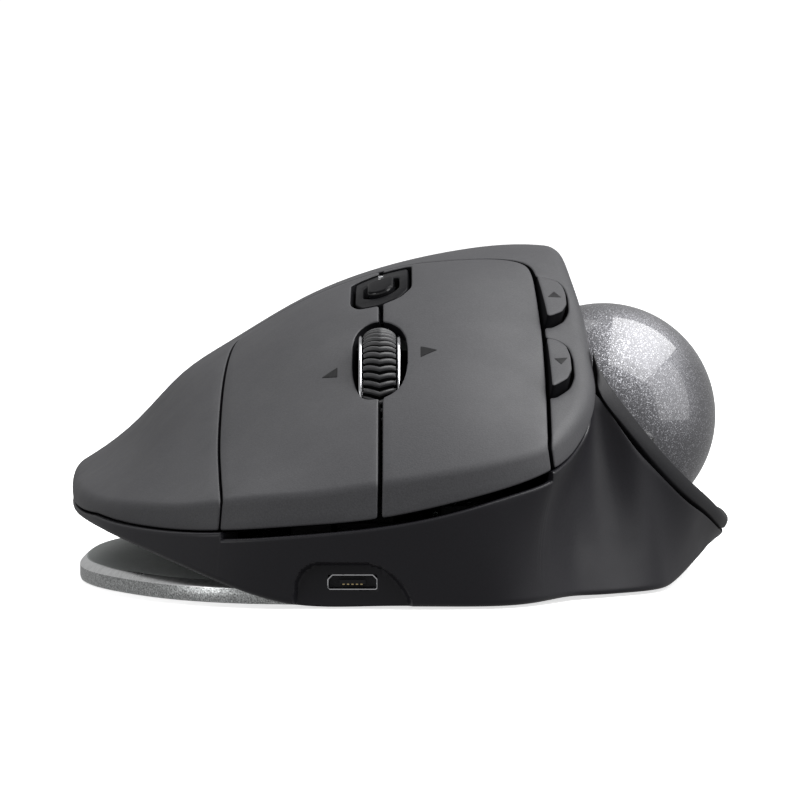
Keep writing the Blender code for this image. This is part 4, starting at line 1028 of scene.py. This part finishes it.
def make_thumb_side():
    rim = along(RIM, RIM_SAMPLES)
    low, high = rim[:, :3], rim[:, 3:]
    run = np.gradient((low + high)[:, :2], axis=0)
    # At its front end the band turns its edge to the ball. From there back it stands square to its run.
    share = np.clip((high[:, 1:2] + 30) / 12, 0, 1)
    square, to_ball = np.column_stack([-run[:, 1], run[:, 0]]), BALL_CENTRE[:2] - high[:, :2]
    flat = unit(square) * share + unit(to_ball) * (1 - share)
    inward = unit(np.column_stack([flat, np.zeros(len(run))]))
    rise = unit(high - low)
    radius, turns = 0.35, np.radians((0, 30, 60, 90))
    lower = [low + radius * ((1 - math.sin(a)) * inward + (1 - math.cos(a)) * rise) for a in turns]
    upper = [high - radius * ((1 - math.sin(a)) * rise - (1 - math.cos(a)) * inward) for a in turns]
    middle = [low * (1 - t) + high * t - 0.1 * math.sin(math.pi * t) * inward for t in (0.35, 0.5, 0.65)]
    # The band's inner foot hangs down behind the housing's edge, so that the seam stays dark.
    foot = low + RIM_DEPTH * inward
    foot[:, 2] -= np.interp(low[:, 2], (14, 17), (0, 0.65))
    section = np.array([foot, *lower, *middle, *upper, high + RIM_DEPTH * inward])
    mesh = loft("thumb_rim_skin", [section[:, k] for k in range(section.shape[1])])
    new_piece("thumb_rim_skin", mesh, "housing", "satin_black", RIM_SATIN, replaces=["thumb_rim"], angle=50)

    near, far = high + REST_INSET * inward, along(REST_EDGE, RIM_SAMPLES)
    middle = (near + far) / 2
    middle[:, 2] = near[:, 2] * 0.7 + far[:, 2] * 0.3 - SCOOP * np.clip((-8 - near[:, 1]) / 16, 0, 1)
    shares = np.linspace(0, 1, REST_ROWS)
    face = [near * (1 - t) ** 2 + middle * 2 * t * (1 - t) + far * t**2 for t in shares]
    under = [row + 1.4 * (1 - t) * inward - np.array((0, 0, WALL)) for t, row in zip(shares, face)]
    rows = np.array(face + under[::-1])
    mesh = loft("thumb_rest_skin", [rows[:, k] for k in range(rows.shape[1])])
    cut = boolean_result(
        mesh,
        round_ball("ball_room", CUP_ROOM, 128, 64, BALL_AXIS),
        rod("precision_room", 2.25, 12, PRECISION_CENTRE, PRECISION_AXIS),
        solver="MANIFOLD",
    )
    new_piece("thumb_rest_skin", cut, "housing", "soft_touch", SOFT, replaces=["thumb_rest"])

    mesh = turned_mesh("precision_cap", PRECISION_PROFILE, PRECISION_CENTRE, PRECISION_AXIS, 48)
    new_piece("precision_cap", mesh, "precision_button", "gloss_black", GLOSS, replaces=["precision_button"])


def turned_mesh(name, profile, centre, direction, steps):
    """A profile of (radius, height) turned round an axis. One that starts off the axis closes on itself."""
    turn = np.array(Vector(direction).to_track_quat("Z", "Y").to_matrix())
    rings = []
    for k in range(steps):
        angle = 2 * math.pi * k / steps
        local = np.array([(r * math.cos(angle), r * math.sin(angle), h) for r, h in profile])
        rings.append(local @ turn.T + centre)
    faces, count = [], len(profile)
    wanted = count if profile[0][0] > 0 else count - 1
    for k in range(steps):
        faces += band(k * count, (k + 1) % steps * count, count)[:wanted]
    mesh = mesh_from(name, np.concatenate(rings), faces)
    shape = bmesh.new()
    shape.from_mesh(mesh)
    bmesh.ops.remove_doubles(shape, verts=shape.verts, dist=1e-7)
    bmesh.ops.dissolve_degenerate(shape, edges=shape.edges, dist=1e-7)
    bmesh.ops.recalc_face_normals(shape, faces=shape.faces)
    shape.to_mesh(mesh)
    shape.free()
    return mesh


def make_ball():
    mesh = round_ball("trackball_skin", BALL_RADIUS, 192, 96, BALL_SPIN)
    new_piece("trackball_skin", mesh, "trackball", "ball_lacquer", LACQUER, replaces=["trackball"])


# The scroll wheel


def make_wheel():
    steps = RIBS * STEPS_PER_RIB
    sunk = [(0.5 - 0.5 * math.cos(2 * math.pi * k / STEPS_PER_RIB)) ** 2.2 for k in range(STEPS_PER_RIB)]
    rings = []
    for k in range(steps):
        ring = []
        for n, (u, r) in enumerate(zip(TYRE_ACROSS, TYRE_RADII)):
            angle = 2 * math.pi * k / steps - RIB_LEAD * abs(u) / TYRE_HALF / WHEEL_RADIUS
            if 1 < n < len(TYRE_ACROSS) - 2:
                r -= RIB_DEPTH * sunk[k % STEPS_PER_RIB]
            ring.append(WHEEL_CENTRE + (u, -r * math.sin(angle), r * math.cos(angle)))
        rings.append(ring)
    faces, kinds, count = [], [], len(TYRE_ACROSS)
    for k in range(steps):
        faces += band(k * count, (k + 1) % steps * count, count)
        # Faces deep in a groove take the second material, the near-black of painted shade
        deep = sunk[k % STEPS_PER_RIB] + sunk[(k + 1) % STEPS_PER_RIB] > 1.0
        kinds += [int(deep and 0 < i < count - 2) for i in range(count)]
    mesh = facing_out(mesh_from("tyre_ribbed", np.concatenate(rings), faces, kinds))
    new_piece("tyre_ribbed", mesh, "wheel", "rubber", RUBBER, GROOVE_PAINTED_SHADE, replaces=["wheel_tyre"], angle=60)

    for side, name in ((-1, "wheel_rim_pinky"), (1, "wheel_rim_thumb")):
        centre = WHEEL_CENTRE + (side * RIM_SIDE, 0, 0)
        mesh = turned_mesh(name + "_turned", RIM_PROFILE, centre, (1, 0, 0), 144)
        new_piece(name + "_turned", mesh, "wheel", "chrome", CHROME, replaces=[name])


# The port and the base plate


def make_port():
    outline = softened(PORT, 0.09, step=0.08)
    rings = []
    for y, shrink in PORT_RINGS:
        ring = grown(outline, -shrink)
        rings.append(np.column_stack([ring[:, 0], np.full(len(ring), y), ring[:, 1]]) + USB_CENTRE)
    mesh = loft("port_shell", rings, closed=True)
    new_piece("port_shell", mesh, "housing", "chrome", CHROME, replaces=["usb_port"])
    points, faces = [], []
    for k in range(CONTACTS):
        middle = USB_CENTRE + ((k - (CONTACTS - 1) / 2) * CONTACT_PITCH, 0, 0)
        base, ends = len(points), (middle + CONTACT_LOW, middle + CONTACT_HIGH)
        points += [(ends[a][0], ends[b][1], ends[c][2]) for a in (0, 1) for b in (0, 1) for c in (0, 1)]
        faces += [tuple(base + i for i in face) for face in BOX_FACES]
    mesh = facing_out(mesh_from("port_contacts", points, faces))
    new_piece("port_contacts", mesh, "housing", "chrome", GOLD)


def make_plate():
    edge = Loop(PLATE_EDGE).even(320)[:, :2]
    side = outward(edge)
    rings = [np.column_stack([edge - side * inset, np.full(len(edge), z)]) for inset, z, _ in PLATE_LEVELS]
    mesh = loft("plate_turned", rings, kinds=[kind for _, _, kind in PLATE_LEVELS])
    new_piece("plate_turned", mesh, "base", "steel", STEEL, BEVEL_STEEL, SIDE_STEEL,
              replaces=["base_plate"], angle=35)


make_top()
make_lower_housing()
make_thumb_side()
make_ball()
make_wheel()
make_port()
make_plate()


# The studio, in metres and watts

FLOOR_PROFILE = (
    (1.2, 0.0), (2.2, 0.0), (2.42, 0.05), (2.6, 0.16), (2.72, 0.35), (2.78, 0.6), (2.8, 1.0), (2.8, 1.6),
)
FLOOR_SIDES = 96
FLOOR_GLOW = 0.7
AIR_GLOW = 0.36
# Area lights: name, place from the target, width, power, and for a rectangle its height
LIGHTS = (
    ("key_softbox", (0.365, -0.011, 0.655), 0.585, 9.8, "RECTANGLE", 1.07),
    ("front_fill", (-0.5, -0.9, 0.35), 0.5, 0.5),
    ("low_side", (-0.8, -0.35, 0.16), 0.3, 1.2),
    ("wing_edge", (1.1, -0.25, 0.36), 0.9, 5.0),
    ("top_rear", (-0.35, 0.35, 0.8), 0.6, 1.6),
)
LIGHT_TARGET_Z = 0.026
CAMERA_LENS, CAMERA_DISTANCE = 356.4, 1.208
CAMERA_TILT_DEG, CAMERA_TARGET_Z = 3.5, 0.0268


def make_stage():
    """A round paper floor that curves up all round, in metres."""
    angles = np.linspace(0, 2 * math.pi, FLOOR_SIDES, endpoint=False)
    rings = []
    for radius, z in FLOOR_PROFILE:
        ring = [radius * np.cos(angles), radius * np.sin(angles), np.full(FLOOR_SIDES, z)]
        rings.append(np.column_stack(ring) / MM)
    faces = []
    points = np.concatenate([[(0, 0, 0)], *rings])
    for k in range(len(rings) - 1):
        low, high = 1 + k * FLOOR_SIDES, 1 + (k + 1) * FLOOR_SIDES
        for i in range(FLOOR_SIDES):
            j = (i + 1) % FLOOR_SIDES
            faces.append((low + i, high + i, high + j, low + j))
    faces += [(0, 1 + i, 1 + (i + 1) % FLOOR_SIDES) for i in range(FLOOR_SIDES)]
    mesh = mesh_from("studio_floor", points, faces)
    mesh.shade_smooth()
    floor = linked("studio_floor", mesh)
    paint = finish("studio_paper", (0.86, 0.86, 0.86), 0.9, specular=0.1, grain=300, mottle=0.01, depth=0.0)
    shader = paint.node_tree.nodes["Principled BSDF"]
    shader.inputs["Emission Color"].default_value = (1, 1, 1, 1)
    shader.inputs["Emission Strength"].default_value = FLOOR_GLOW
    mesh.materials.append(paint)
    floor.visible_glossy = False
    floor.visible_diffuse = False


def make_light(name, offset, size, power, shape="SQUARE", height=None):
    light = bpy.data.lights.new(name, "AREA")
    light.energy, light.shape, light.size = power, shape, size
    if height:
        light.size_y = height
    lamp = linked(name, light)
    target = Vector((0, 0, LIGHT_TARGET_Z))
    lamp.location = target + Vector(offset)
    lamp.rotation_euler = Vector(offset).to_track_quat("Z", "X").to_euler()


def make_studio():
    make_stage()
    for light in LIGHTS:
        make_light(*light)
    world = bpy.data.worlds.new("studio_air")
    world.use_nodes = True
    air = world.node_tree.nodes["Background"]
    air.inputs["Color"].default_value = (1, 1, 1, 1)
    air.inputs["Strength"].default_value = AIR_GLOW
    bpy.context.scene.world = world
    lens = bpy.data.cameras.new("camera")
    lens.lens, lens.sensor_width = CAMERA_LENS, 36
    camera = linked("camera", lens)
    tilt = math.radians(CAMERA_TILT_DEG)
    height = CAMERA_TARGET_Z + CAMERA_DISTANCE * math.sin(tilt)
    camera.location = (0, -CAMERA_DISTANCE * math.cos(tilt), height)
    camera.rotation_euler = (math.pi / 2 - tilt, 0, 0)
    bpy.context.scene.camera = camera
    bpy.context.scene.view_settings.view_transform = "Standard"


make_studio()

bpy.context.view_layer.update()
